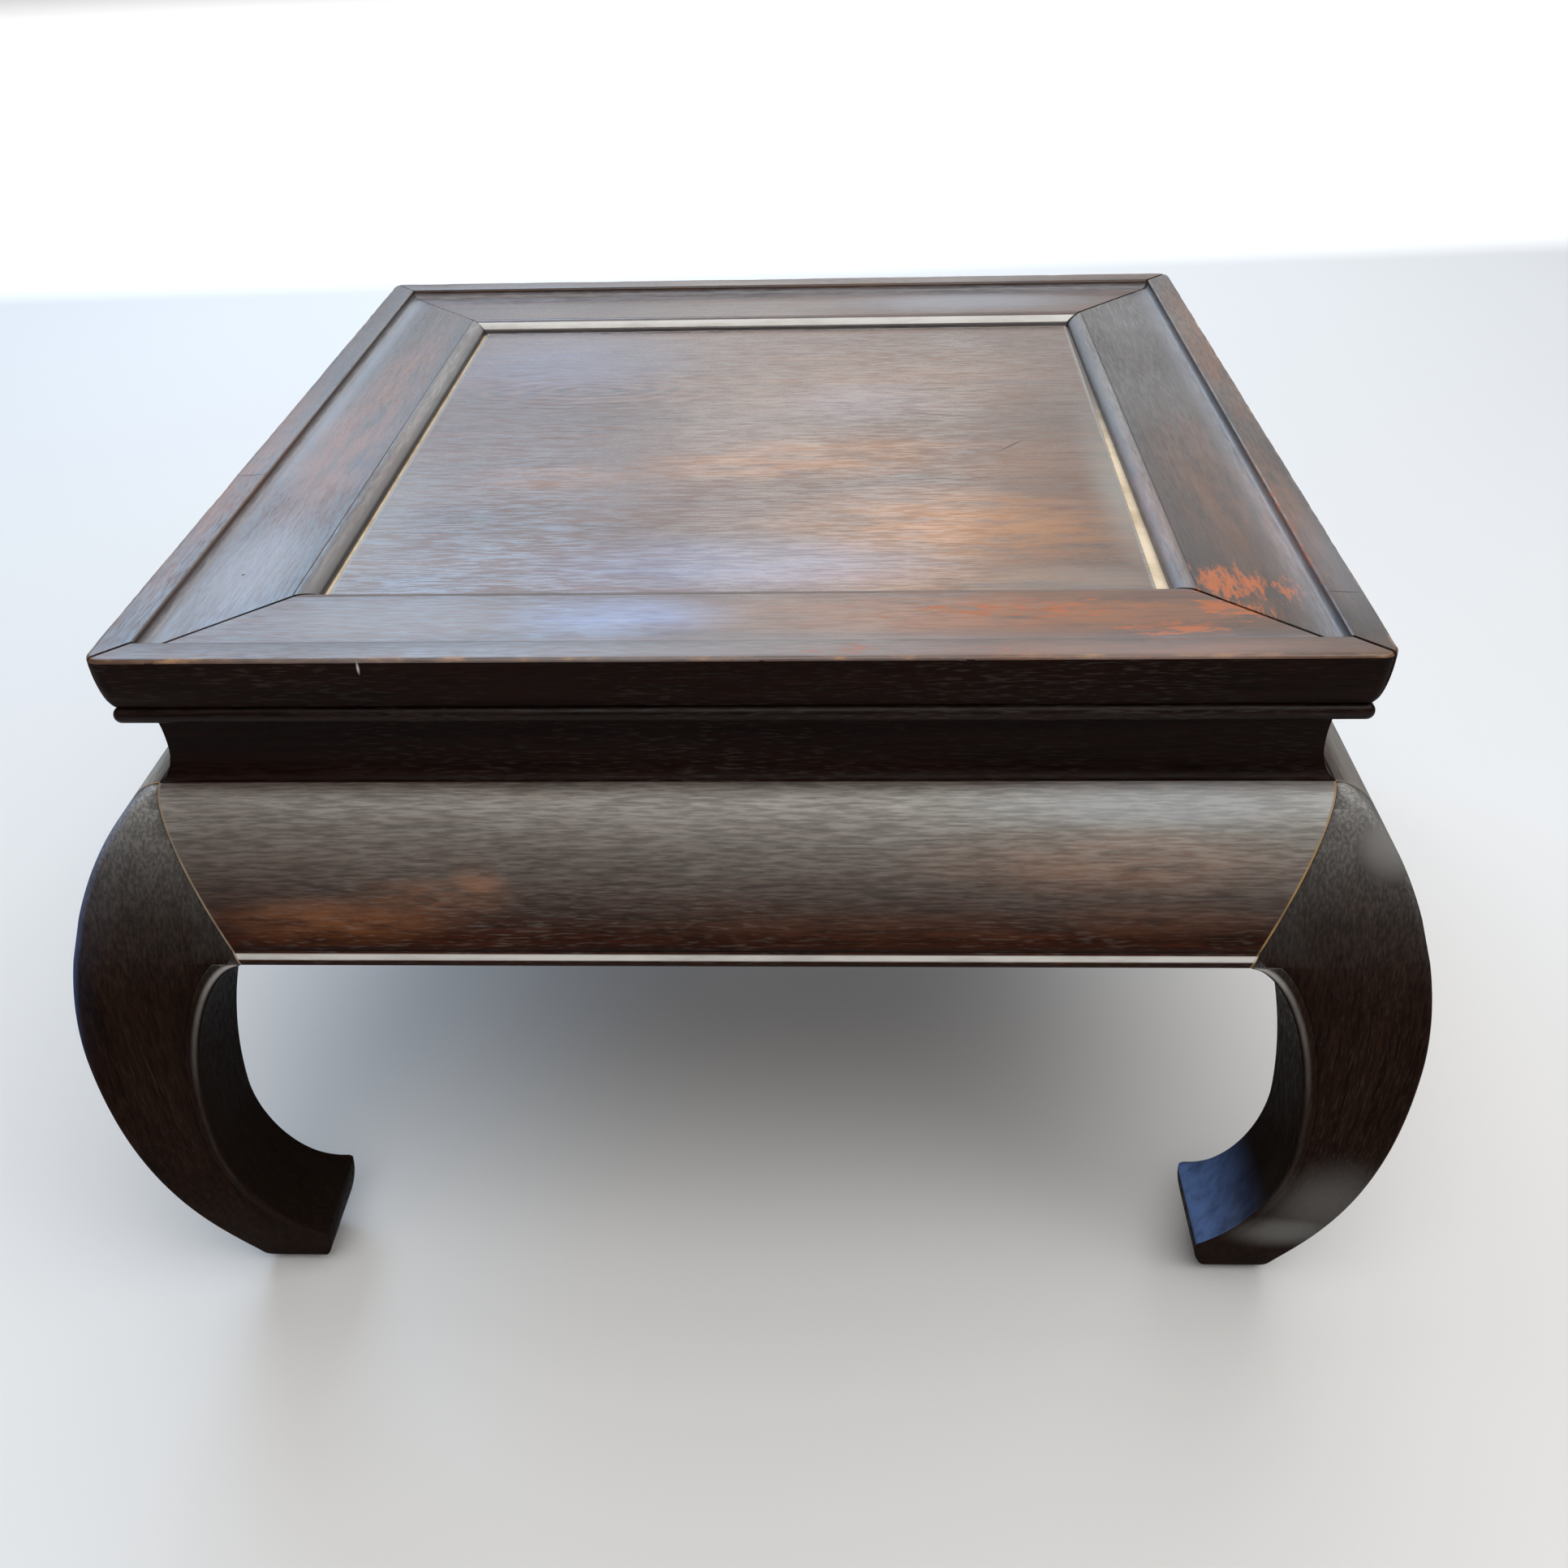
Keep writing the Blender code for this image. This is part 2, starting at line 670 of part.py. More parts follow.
def add_legs(table, finish):
    """Hoof legs: both aprons' ends are let into the shoulder, the head carries the frame."""
    for quarter, corner in enumerate(CORNERS):
        leg = loft("leg_" + corner, leg_rings(), finish)
        for swap in (False, True):
            boolean(leg, apron_space(f"{corner}_space_{swap}", swap), "DIFFERENCE")
        for swap in (False, True):
            boolean(leg, leg_key(f"{corner}_key_{swap}", 0.0, 1, swap), "UNION")
        head_low = (R_HEAD_IN, -R_HEAD_OUT, Z_APRON_TOP - OVERCUT)
        head_high = (R_HEAD_OUT, -R_HEAD_IN, Z_FRAME - FIT)
        boolean(leg, block(f"{corner}_head", head_low, head_high), "UNION")
        for swap in (False, True):
            along, across = reversed(leg_tenon(0.0)) if swap else leg_tenon(0.0)
            in_long_rail = swap == bool(quarter % 2)
            top = Z_FRAME + (LONG_TENON_H if in_long_rail else SHORT_TENON_H)
            levels = (Z_FRAME - FIT - OVERCUT, top)
            boolean(leg, corner_block(f"{corner}_tenon_{swap}", along, across, levels, 1), "UNION")
        place(leg, quarter, table)


def build():
    for item in list(bpy.data.objects):
        bpy.data.objects.remove(item, do_unlink=True)
    table = bpy.data.objects.new("urn_table", None)
    bpy.context.scene.collection.objects.link(table)
    add_rails(table, wood("frame wood", (0.050, 0.030, 0.022), 0.34))
    add_panel(table, wood("panel wood", (0.075, 0.046, 0.033), 0.36))
    add_battens(table, wood("batten wood", (0.160, 0.095, 0.055), 0.70))
    add_bead_strips(table, wood("bead strip wood", (0.026, 0.017, 0.013), 0.32))
    add_waist(table, wood("waist wood", (0.028, 0.019, 0.014), 0.36))
    add_aprons(table, wood("apron wood", (0.040, 0.026, 0.019), 0.36))
    add_legs(table, wood("leg wood", (0.034, 0.021, 0.015), 0.36))


build()
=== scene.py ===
import math

import bmesh
import bpy
import numpy as np
from mathutils import Matrix, Vector, noise


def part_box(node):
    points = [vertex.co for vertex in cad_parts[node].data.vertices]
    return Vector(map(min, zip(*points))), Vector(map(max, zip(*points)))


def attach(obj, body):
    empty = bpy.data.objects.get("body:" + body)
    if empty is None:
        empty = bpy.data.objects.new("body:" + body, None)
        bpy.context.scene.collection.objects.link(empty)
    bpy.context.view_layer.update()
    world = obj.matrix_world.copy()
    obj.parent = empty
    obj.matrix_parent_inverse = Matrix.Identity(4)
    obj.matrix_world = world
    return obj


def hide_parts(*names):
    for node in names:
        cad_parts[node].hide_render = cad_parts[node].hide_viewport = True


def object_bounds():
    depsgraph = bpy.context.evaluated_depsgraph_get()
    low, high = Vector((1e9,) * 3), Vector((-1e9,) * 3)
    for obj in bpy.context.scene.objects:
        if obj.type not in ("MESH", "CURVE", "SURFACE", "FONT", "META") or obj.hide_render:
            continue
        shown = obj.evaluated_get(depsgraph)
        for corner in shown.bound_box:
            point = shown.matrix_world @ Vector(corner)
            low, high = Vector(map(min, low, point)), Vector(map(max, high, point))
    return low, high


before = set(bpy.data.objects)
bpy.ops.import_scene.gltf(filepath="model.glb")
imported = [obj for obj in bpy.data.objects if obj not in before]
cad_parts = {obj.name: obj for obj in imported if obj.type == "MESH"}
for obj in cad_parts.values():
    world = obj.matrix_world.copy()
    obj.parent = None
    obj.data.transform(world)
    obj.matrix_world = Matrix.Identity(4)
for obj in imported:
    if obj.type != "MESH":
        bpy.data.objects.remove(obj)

cad_low, cad_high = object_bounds()
scene = bpy.context.scene

# Studio: a wide pale floor, a broad cool light behind the table on the left, a neutral one straight behind,
# a low weak one behind, a soft one high in front, a large weak one overhead, and one turned away that
# whitens the floor behind. The camera looks down on the top from the front.
CAMERA_AT = Vector((0.0437, -0.7506, 0.6312))
CAMERA_YAW = math.radians(-2.815)
CAMERA_PITCH = math.radians(34.043)
CAMERA_ROLL = math.radians(1.668)
FOCAL_PIXELS = 1876.6
FRAME_PIXELS = 1932
SENSOR_MM = 36.0
FLOOR_REACH = 14.0
FLOOR_COLOUR = (0.74, 0.74, 0.74)
LIGHT_AIM = Vector((0.0, 0.0, 0.30))


def linked(name, data):
    """A new object for this data, in the scene."""
    made = bpy.data.objects.new(name, data)
    scene.collection.objects.link(made)
    return made


def camera_matrix():
    """Where the camera stands and how it is turned: yaw to the right, pitch down, roll clockwise."""
    flat = math.cos(CAMERA_PITCH)
    ahead = Vector((math.sin(CAMERA_YAW) * flat, math.cos(CAMERA_YAW) * flat, -math.sin(CAMERA_PITCH)))
    level = Vector((math.cos(CAMERA_YAW), -math.sin(CAMERA_YAW), 0.0))
    below = ahead.cross(level)
    right = math.cos(CAMERA_ROLL) * level + math.sin(CAMERA_ROLL) * below
    down = math.cos(CAMERA_ROLL) * below - math.sin(CAMERA_ROLL) * level
    turned = Matrix((right, -down, -ahead)).transposed().to_4x4()
    return Matrix.Translation(CAMERA_AT) @ turned


def softbox(name, at, size, radiance, colour, aim=LIGHT_AIM):
    """A rectangular light aimed at the table or another point, set by how bright its face is."""
    lamp = bpy.data.lights.new(name, "AREA")
    lamp.shape = "RECTANGLE"
    lamp.size, lamp.size_y = size
    lamp.energy = radiance * math.pi * size[0] * size[1]
    lamp.color = colour
    box = linked(name, lamp)
    box.location = at
    box.rotation_euler = (Vector(aim) - Vector(at)).to_track_quat("-Z", "Y").to_euler()
    box.visible_camera = False


camera = linked("camera", bpy.data.cameras.new("camera"))
camera.matrix_world = camera_matrix()
camera.data.sensor_width = SENSOR_MM
camera.data.lens = FOCAL_PIXELS / FRAME_PIXELS * SENSOR_MM
scene.camera = camera
scene.view_settings.view_transform = "Standard"

scene.world = bpy.data.worlds.new("studio air")
scene.world.use_nodes = True
air = scene.world.node_tree.nodes["Background"]
air.inputs["Color"].default_value = (0.97, 0.98, 1.0, 1.0)
air.inputs["Strength"].default_value = 0.10

softbox("light_back_left", (-1.15, 1.90, 1.80), (1.7, 0.80), 6.2, (0.45, 0.70, 1.0))
softbox("light_back_middle", (0.0, 1.92, 1.45), (0.64, 0.80), 2.2, (1.0, 0.97, 0.96))
softbox("light_back_low", (0.45, 2.10, 0.80), (2.4, 0.5), 0.8, (0.80, 0.92, 1.0))
softbox("light_front", (0.45, -1.15, 2.05), (2.6, 1.7), 3.4, (1.0, 0.98, 0.95))
softbox("light_above", (0.0, 2.2, 3.2), (6.0, 6.0), 1.1, (1.0, 0.99, 0.98))
softbox("light_backdrop", (-0.3, 1.9, 1.4), (9.0, 1.2), 14.0, (1.0, 1.0, 1.0), (-0.6, 6.5, 0.0))

floor_mesh = bpy.data.meshes.new("floor")
corners = [(x * FLOOR_REACH, y * FLOOR_REACH, 0.0) for x, y in ((-1, -1), (1, -1), (1, 1), (-1, 1))]
floor_mesh.from_pydata(corners, [], [(0, 1, 2, 3)])
floor = linked("floor", floor_mesh)
floor_paint = bpy.data.materials.new("pale floor")
floor_paint.use_nodes = True
floor_shader = floor_paint.node_tree.nodes["Principled BSDF"]
floor_shader.inputs["Base Color"].default_value = (*FLOOR_COLOUR, 1.0)
floor_shader.inputs["Roughness"].default_value = 0.9
floor_shader.inputs["Specular IOR Level"].default_value = 0.1
floor_mesh.materials.append(floor_paint)

# Legs: four hoof legs of dark stained hardwood, each sawn from one square post, so its grain runs
# straight up. Both apron ends are let into the shoulder, and the head goes up behind the waist.
FIT = 0.0003
APRON_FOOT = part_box("apron_front")[0].z
APRON_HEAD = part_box("apron_front")[1].z
WAIST_FOOT_R = -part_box("waist_front")[0].y
WAIST_BACK_R = -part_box("waist_front")[1].y
FRAME_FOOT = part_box("rail_front")[0].z
BEAD_PROUD = 0.0010
BEAD_W = 0.0060
BULGE_R = cad_high.x - BEAD_PROUD
BULGE_Z = 0.1685
FOOT_R = 0.2506
FOOT_SOFT = 0.0090
ARRIS_R = 0.0040
ARRIS_SHARE = 0.6
SHOULDER_W = 0.0723
NECK_Z = 0.1167
NECK_W = 0.0430
HOOF_TIP_R = 0.2113
HOOF_Z = 0.0345
PAD_IN_R = 0.2300
HEAD_IN_R = 0.1902
HEAD_OUT_R = WAIST_BACK_R - FIT
CORNER_SOFT = 0.0030
FLARE_H = 0.016
APRON_FOOT_T = 0.026
SPIKE_CUT = 0.0005
BEAD_FADE = 0.060
SHARP_ANGLE = math.radians(32)
CORNERS = ("front_right", "back_right", "back_left", "front_left")


def curve(start, leave, arrive, stop, steps=160):
    """Points down a cubic span of (r, z) points."""
    t = np.linspace(0.0, 1.0, steps + 1)[:, None]
    a, b, c, d = (np.array(p) for p in (start, leave, arrive, stop))
    return (1 - t) ** 3 * a + 3 * (1 - t) ** 2 * t * b + 3 * (1 - t) * t ** 2 * c + t ** 3 * d


OUTER_CURVE = np.concatenate([
    curve((WAIST_FOOT_R, APRON_HEAD), (WAIST_FOOT_R + 0.0201, APRON_HEAD - 0.0024),
          (BULGE_R, BULGE_Z + 0.0636), (BULGE_R, BULGE_Z)),
    curve((BULGE_R, BULGE_Z), (BULGE_R, 0.0775), (FOOT_R + 0.0092, 0.0295), (FOOT_R, 0.0))[1:],
])


def outer_at(z):
    """Distance of the bulging outer face from the middle plane, at height z."""
    return np.interp(z, OUTER_CURVE[::-1, 1], OUTER_CURVE[::-1, 0])


CORNER_R = float(outer_at(APRON_FOOT)) - SHOULDER_W
NECK_R = float(outer_at(NECK_Z)) - NECK_W
APRON_BACK_R = float(outer_at(APRON_FOOT)) - APRON_FOOT_T
INNER_CURVE = np.concatenate([
    curve((CORNER_R, APRON_FOOT), (CORNER_R + 0.0211, APRON_FOOT - 0.0034),
          (NECK_R, NECK_Z + 0.0474), (NECK_R, NECK_Z), 60),
    curve((NECK_R, NECK_Z), (NECK_R, NECK_Z - 0.0222), (HOOF_TIP_R + 0.0188, HOOF_Z + 0.0191),
          (HOOF_TIP_R, HOOF_Z), 60)[1:],
    curve((HOOF_TIP_R, HOOF_Z), (HOOF_TIP_R, HOOF_Z * 0.55), (HOOF_TIP_R + 0.0080, 0.0),
          (PAD_IN_R, 0.0), 24)[1:],
])


def mitre_at(z):
    """Half length of an apron's face at height z: its slanting joint with the leg."""
    rise = (z - APRON_FOOT) / (APRON_HEAD - APRON_FOOT)
    return CORNER_R + (WAIST_FOOT_R - CORNER_R) * rise


def arris_at(z):
    """Radius of a leg's outer arris at height z; it runs out between the aprons' ends at the top."""
    if z <= APRON_FOOT:
        return ARRIS_R
    return min(ARRIS_R, ARRIS_SHARE * (float(outer_at(z)) - mitre_at(z)))


def apron_back_at(z):
    """The apron's slanting back at height z."""
    rise = (z - APRON_FOOT) / (APRON_HEAD - APRON_FOOT)
    return APRON_BACK_R + (WAIST_BACK_R - APRON_BACK_R) * rise


def skin(name, rings):
    """Closed mesh over rings of equally many points, capped at both ends, faces outwards."""
    count = len(rings[0])
    shell = bmesh.new()
    rows = [[shell.verts.new(point) for point in ring] for ring in rings]
    for low, high in zip(rows, rows[1:]):
        for k in range(count):
            turn = (k + 1) % count
            shell.faces.new((low[k], low[turn], high[turn], high[k]))
    shell.faces.new(rows[0])
    shell.faces.new(rows[-1])
    bmesh.ops.recalc_face_normals(shell, faces=shell.faces)
    mesh = bpy.data.meshes.new(name)
    shell.to_mesh(mesh)
    shell.free()
    return mesh


def box_skin(low, high):
    """A plain block between two corners, to cut or join with."""
    (x0, y0, z0), (x1, y1, z1) = low, high
    outline = ((x0, y0), (x1, y0), (x1, y1), (x0, y1))
    return skin("block", [[(x, y, z) for x, y in outline] for z in (z0, z1)])


def carved(mesh, jobs):
    """The mesh after each (operation, tool mesh) has been cut from it or joined to it."""
    work = linked("work", mesh)
    tools = [linked("tool", tool) for _, tool in jobs]
    for (operation, _), tool in zip(jobs, tools):
        modifier = work.modifiers.new(operation, "BOOLEAN")
        modifier.operation = operation
        modifier.object = tool
    done = bpy.data.meshes.new_from_object(work.evaluated_get(bpy.context.evaluated_depsgraph_get()))
    for item in [work] + tools:
        bpy.data.objects.remove(item, do_unlink=True)
    return done


def positions(mesh):
    """Every vertex of a mesh, as rows of x, y, z."""
    flat = np.empty(len(mesh.vertices) * 3, np.float32)
    mesh.vertices.foreach_get("co", flat)
    return flat.reshape(-1, 3).astype(float)


def set_positions(mesh, co):
    """Move the vertices of a mesh to these rows."""
    mesh.vertices.foreach_set("co", co.astype(np.float32).ravel())
    mesh.update()


def mark(mesh, name, kind, values):
    """Store one value for each vertex under a name that the materials read."""
    layer = mesh.attributes.get(name) or mesh.attributes.new(name, kind, "POINT")
    field = "vector" if kind == "FLOAT_VECTOR" else "value"
    layer.data.foreach_set(field, np.asarray(values, np.float32).ravel())


def marked(mesh, name):
    """The values that a mesh stores under this name, one for each vertex."""
    values = np.empty(len(mesh.vertices), np.float32)
    mesh.attributes[name].data.foreach_get("value", values)
    return values


def add_piece(name, mesh, quarter, material, board, shade=0.0):
    """Turn a mesh made for the front to its own side, and put it in the table in place of its solid."""
    mark(mesh, "board", "FLOAT", np.full(len(mesh.vertices), board))
    mark(mesh, "shade", "FLOAT", np.full(len(mesh.vertices), shade))
    mesh.transform(Matrix.Rotation(quarter * math.pi / 2, 4, "Z"))
    mesh.shade_smooth()
    mesh.set_sharp_from_angle(angle=SHARP_ANGLE)
    mesh.materials.clear()
    mesh.materials.append(material)
    piece = linked(name + "_piece", mesh)
    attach(piece, "root")
    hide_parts(name)
    return piece


def node(tree, kind, links=(), **settings):
    """A node with its settings; links pairs an input's name or number with a value or a socket."""
    made = tree.nodes.new(kind)
    for key, value in settings.items():
        setattr(made, key, value)
    for key, value in links:
        if isinstance(value, bpy.types.NodeSocket):
            tree.links.new(value, made.inputs[key])
        else:
            made.inputs[key].default_value = value
    return made


def calc(tree, operation, a, b=0.0):
    """Result of one sum."""
    return node(tree, "ShaderNodeMath", ((0, a), (1, b)), operation=operation).outputs[0]


def stored(tree, name, output="Fac"):
    """What the mesh stores under this name."""
    return node(tree, "ShaderNodeAttribute", attribute_name=name).outputs[output]


def stretched(tree, vector, scale):
    """A vector stretched along the grain and squeezed across it."""
    return node(tree, "ShaderNodeMapping", (("Vector", vector), ("Scale", scale))).outputs[0]


def cloud(tree, vector, scale, detail=3.0, rough=0.55, distortion=0.0):
    """Soft noise from 0 to 1."""
    made = node(tree, "ShaderNodeTexNoise", (
        ("Vector", vector), ("Scale", scale), ("Detail", detail), ("Roughness", rough),
        ("Distortion", distortion)))
    return made.outputs["Fac"]


def fade(tree, value, start, stop, low=0.0, high=1.0):
    """Smooth step of a value from low at start to high at stop."""
    made = node(tree, "ShaderNodeMapRange", (
        ("Value", value), ("From Min", start), ("From Max", stop), ("To Min", low), ("To Max", high)),
        interpolation_type="SMOOTHSTEP")
    return made.outputs["Result"]


def blend_colour(tree, factor, a, b):
    """Colour a, with colour b over it by the factor."""
    made = node(tree, "ShaderNodeMix", ((0, factor), (6, a), (7, b)), data_type="RGBA")
    return made.outputs[2]


def opaque(colour):
    """A colour with no see-through."""
    return (*colour, 1.0)


def spot(tree, place, centre, radii, turn=0.0):
    """1 in the middle of an oval spot of the surface, 0 from its rim on."""
    turned = (0.0, 0.0, math.radians(turn))
    near = node(tree, "ShaderNodeMapping", (
        ("Vector", place), ("Location", centre), ("Rotation", turned), ("Scale", radii)),
        vector_type="TEXTURE").outputs[0]
    length = node(tree, "ShaderNodeVectorMath", ((0, near),), operation="LENGTH").outputs["Value"]
    return fade(tree, length, 1.0, 0.15)


def spots(tree, place, rows):
    """The strongest of several spots at each point; a row is centre, radii, strength and turn."""
    total = None
    for centre, radii, strength, turn in rows:
        one = calc(tree, "MULTIPLY", spot(tree, place, centre, radii, turn), strength)
        total = one if total is None else calc(tree, "MAXIMUM", total, one)
    return total


STAIN_DEEP = (0.0035, 0.0014, 0.0010)
STAIN_WARM = (0.0140, 0.0054, 0.0034)
RUBBED = (0.290, 0.092, 0.018)
FLAKED = (0.360, 0.095, 0.022)
BARE = (0.420, 0.235, 0.120)
PORE_DUST = (0.200, 0.180, 0.160)
FILM = (0.210, 0.210, 0.185)
# Painted reflection: a bluish colour standing in for the sheen of a cool light on the polish.
REFLECTED_BLUE = (0.178, 0.208, 0.335)
# Painted highlight on beads and noses; also the colour of chipped spots.
PALE_HIGHLIGHT_AND_CHIP = (0.620, 0.600, 0.570)
# Painted shade: the near-black laid into creases, quirks, the undersides of noses and beads, and the legs'
# inner faces.
PAINTED_SHADE = (0.0075, 0.0055, 0.0045)


def stained_wood(name, deep=STAIN_DEEP, warm=STAIN_WARM, eye=None, dust_and_sheen_share=0.5, rubbed=(), rubbed_colour=RUBBED,
                 flaked=(), cracks=(), haze_and_sheen_spots=(), film_and_sheen_colour=FILM, reflected_spots=(), reflected_colour=REFLECTED_BLUE,
                 chipped=(), gloss=(0.30, 0.46), mottle=0.11, shine=0.5, joint=None):
    """Polished dark hardwood: figure, fine grain, dusty pores and hollows, rubbed spots and worn arrises,
    with painted sheen, reflection, highlight and shade.
    """
    material = bpy.data.materials.new(name)
    material.use_nodes = True
    tree = material.node_tree
    shader = tree.nodes["Principled BSDF"]
    place = node(tree, "ShaderNodeTexCoord").outputs["Object"]
    plank = stored(tree, "plank", "Vector")
    board = stored(tree, "board")
    worn_edge = stored(tree, "worn_edge")
    dust_and_sheen = stored(tree, "dust_and_sheen")
    shade = stored(tree, "shade")
    painted_highlight = stored(tree, "painted_highlight")
    grime_and_shade = stored(tree, "grime_and_shade")
    blue_reflection = stored(tree, "blue_reflection")
    timber = node(tree, "ShaderNodeVectorMath", ((0, plank), (1, board)), operation="ADD").outputs[0]

    figure = cloud(tree, stretched(tree, timber, (3.5, 60.0, 60.0)), 1.0, 5.0, 0.62, 0.8)
    grain = cloud(tree, stretched(tree, timber, (12.0, 380.0, 380.0)), 1.0, 3.0, 0.65)
    pores = cloud(tree, stretched(tree, timber, (130.0, 1200.0, 1200.0)), 1.0, 1.0, 0.5)
    haze = cloud(tree, timber, 7.0, 4.0, 0.6)
    fleck = cloud(tree, stretched(tree, timber, (80.0, 900.0, 900.0)), 1.0, 2.0, 0.6)
    tone = fade(tree, figure, 0.32, 0.68, 0.0, 0.26)
    tone = calc(tree, "ADD", tone, fade(tree, grain, 0.34, 0.66, 0.0, 0.30))
    tone = calc(tree, "ADD", tone, fade(tree, fleck, 0.36, 0.72, 0.0, 0.40))
    tone = calc(tree, "ADD", tone, fade(tree, haze, 0.30, 0.70, 0.0, 0.16))
    # Whole boards darkened by their shade mark: on the side rails partly their own tone, partly painted
    # shade.
    tone = calc(tree, "SUBTRACT", tone, shade)
    if eye:
        centre, radii = eye
        oval = node(tree, "ShaderNodeMapping", (
            ("Vector", place), ("Location", centre), ("Scale", (3.2, 1.0, 1.0))),
            vector_type="TEXTURE").outputs[0]
        ring = node(tree, "ShaderNodeTexWave", (
            ("Vector", oval), ("Scale", 62.0), ("Distortion", 7.0), ("Detail", 2.0), ("Detail Scale", 0.8)),
            wave_type="RINGS", rings_direction="SPHERICAL").outputs["Fac"]
        ring = calc(tree, "MULTIPLY", calc(tree, "SUBTRACT", ring, 0.5), spot(tree, place, centre, radii))
        tone = calc(tree, "ADD", tone, calc(tree, "MULTIPLY", ring, 0.75))
    colour = blend_colour(tree, tone, opaque(deep), opaque(warm))

    streak = cloud(tree, stretched(tree, timber, (26.0, 120.0, 120.0)), 1.0, 5.0, 0.68)
    if rubbed:
        rub = calc(tree, "MULTIPLY", spots(tree, place, rubbed), fade(tree, streak, 0.28, 0.60))
        colour = blend_colour(tree, rub, colour, opaque(rubbed_colour))
    if flaked:
        torn = cloud(tree, stretched(tree, timber, (85.0, 360.0, 360.0)), 1.0, 5.0, 0.75)
        ragged = calc(tree, "MULTIPLY", calc(tree, "SUBTRACT", torn, 0.5), 2.8)
        flake = fade(tree, calc(tree, "ADD", spots(tree, place, flaked), ragged), 0.40, 0.80)
        flake = calc(tree, "MULTIPLY", flake, fade(tree, spots(tree, place, flaked), 0.0, 0.12))
        colour = blend_colour(tree, flake, colour, opaque(FLAKED))
    dusty = calc(tree, "MULTIPLY", fade(tree, pores, 0.50, 0.74), fade(tree, haze, 0.35, 0.65))
    colour = blend_colour(tree, calc(tree, "MULTIPLY", dusty, dust_and_sheen_share), colour, opaque(PORE_DUST))
    # Pale film: dust in hollows and haze, and painted sheen on up-facing faces and in listed spots.
    film_and_sheen = calc(tree, "MULTIPLY", dust_and_sheen, fade(tree, streak, 0.25, 0.70, 0.75, 1.0))
    film_and_sheen = calc(tree, "MULTIPLY", film_and_sheen, fade(tree, fleck, 0.34, 0.68, 0.62, 1.12))
    if haze_and_sheen_spots:
        film_and_sheen = calc(tree, "MAXIMUM", film_and_sheen, calc(
            tree, "MULTIPLY", spots(tree, place, haze_and_sheen_spots), fade(tree, haze, 0.30, 0.60, 0.35, 1.0)))
    colour = blend_colour(tree, film_and_sheen, colour, opaque(film_and_sheen_colour))
    # Painted reflection: the cool light's bluish sheen laid into the colour, from the mesh's mark and the
    # listed spots.
    reflection = calc(tree, "MAXIMUM", blue_reflection, spots(tree, place, reflected_spots)) if reflected_spots else blue_reflection
    reflection = calc(tree, "MULTIPLY", reflection, fade(tree, streak, 0.25, 0.65, 0.5, 1.0))
    colour = blend_colour(tree, reflection, colour, opaque(reflected_colour))
    # Painted highlight: a pale line along beads and noses where the light catches them.
    colour = blend_colour(tree, calc(tree, "MULTIPLY", painted_highlight, fade(tree, streak, 0.25, 0.60, 0.70, 1.0)),
                          colour, opaque(PALE_HIGHLIGHT_AND_CHIP))
    crack = None
    if cracks:
        crack = spots(tree, place, cracks)
        colour = blend_colour(tree, crack, colour, opaque(STAIN_DEEP))
    chafe = cloud(tree, stretched(tree, timber, (40.0, 120.0, 120.0)), 1.0, 5.0, 0.7)
    bare = fade(tree, calc(tree, "ADD", calc(tree, "MULTIPLY", worn_edge, 0.60), chafe), 0.90, 1.25)
    colour = blend_colour(tree, bare, colour, opaque(BARE))
    if chipped:
        colour = blend_colour(tree, spots(tree, place, chipped), colour, opaque(PALE_HIGHLIGHT_AND_CHIP))
    # Painted shade: creases, quirks and faces that the light misses are darkened to near-black.
    colour = blend_colour(tree, grime_and_shade, colour, opaque(PAINTED_SHADE))
    if joint:
        line, line_colour = joint(tree, plank)
        colour = blend_colour(tree, line, colour, line_colour)
    tree.links.new(colour, shader.inputs["Base Color"])
    shader.inputs["Specular IOR Level"].default_value = shine

    rough = calc(tree, "ADD", fade(tree, haze, 0.25, 0.75, gloss[0], gloss[1]),
                 calc(tree, "MULTIPLY", calc(tree, "ADD", bare, dusty), 0.15))
    rough = calc(tree, "ADD", rough, fade(tree, fleck, 0.36, 0.64, -mottle, mottle))
    rough = calc(tree, "ADD", rough, calc(tree, "MULTIPLY", film_and_sheen, 0.25))
    height = cloud(tree, stretched(tree, timber, (10.0, 110.0, 110.0)), 1.0, 2.0, 0.5)
    if flaked:
        rough = calc(tree, "ADD", rough, calc(tree, "MULTIPLY", flake, 0.25))
        height = calc(tree, "SUBTRACT", height, calc(tree, "MULTIPLY", flake, 0.5))
    if cracks:
        rough = calc(tree, "ADD", rough, calc(tree, "MULTIPLY", crack, 0.6))
        height = calc(tree, "SUBTRACT", height, calc(tree, "MULTIPLY", crack, 2.0))
    tree.links.new(rough, shader.inputs["Roughness"])
    bump = node(tree, "ShaderNodeBump", (("Height", height), ("Strength", 0.20), ("Distance", 0.0003)))
    tree.links.new(bump.outputs["Normal"], shader.inputs["Normal"])
    return material


def bead_far_line():
    """The bead's far line on a leg's face: the inner curve moved in by the bead's width, as r against z."""
    line = INNER_CURVE[INNER_CURVE[:, 1] >= HOOF_Z]
    run = np.gradient(line, axis=0)
    run /= np.linalg.norm(run, axis=1)[:, None]
    moved = line + BEAD_W * np.stack([-run[:, 1], run[:, 0]], axis=1)
    order = np.argsort(moved[:, 1])
    return moved[order]


BEAD_LINE = bead_far_line()
BEAD_QUIRK = 0.0004
BEAD_LEAN = 0.6
BEAD_SHARES = np.linspace(0.0, 1.0, 12)
ARRIS_ARC = np.radians(np.linspace(0.0, 90.0, 9))
FLAT_STEPS = 5


def bead_rise(share):
    """How far the bead stands out, at a share of its width; its crest lies towards the opening."""
    return math.sin(math.pi * share ** BEAD_LEAN)


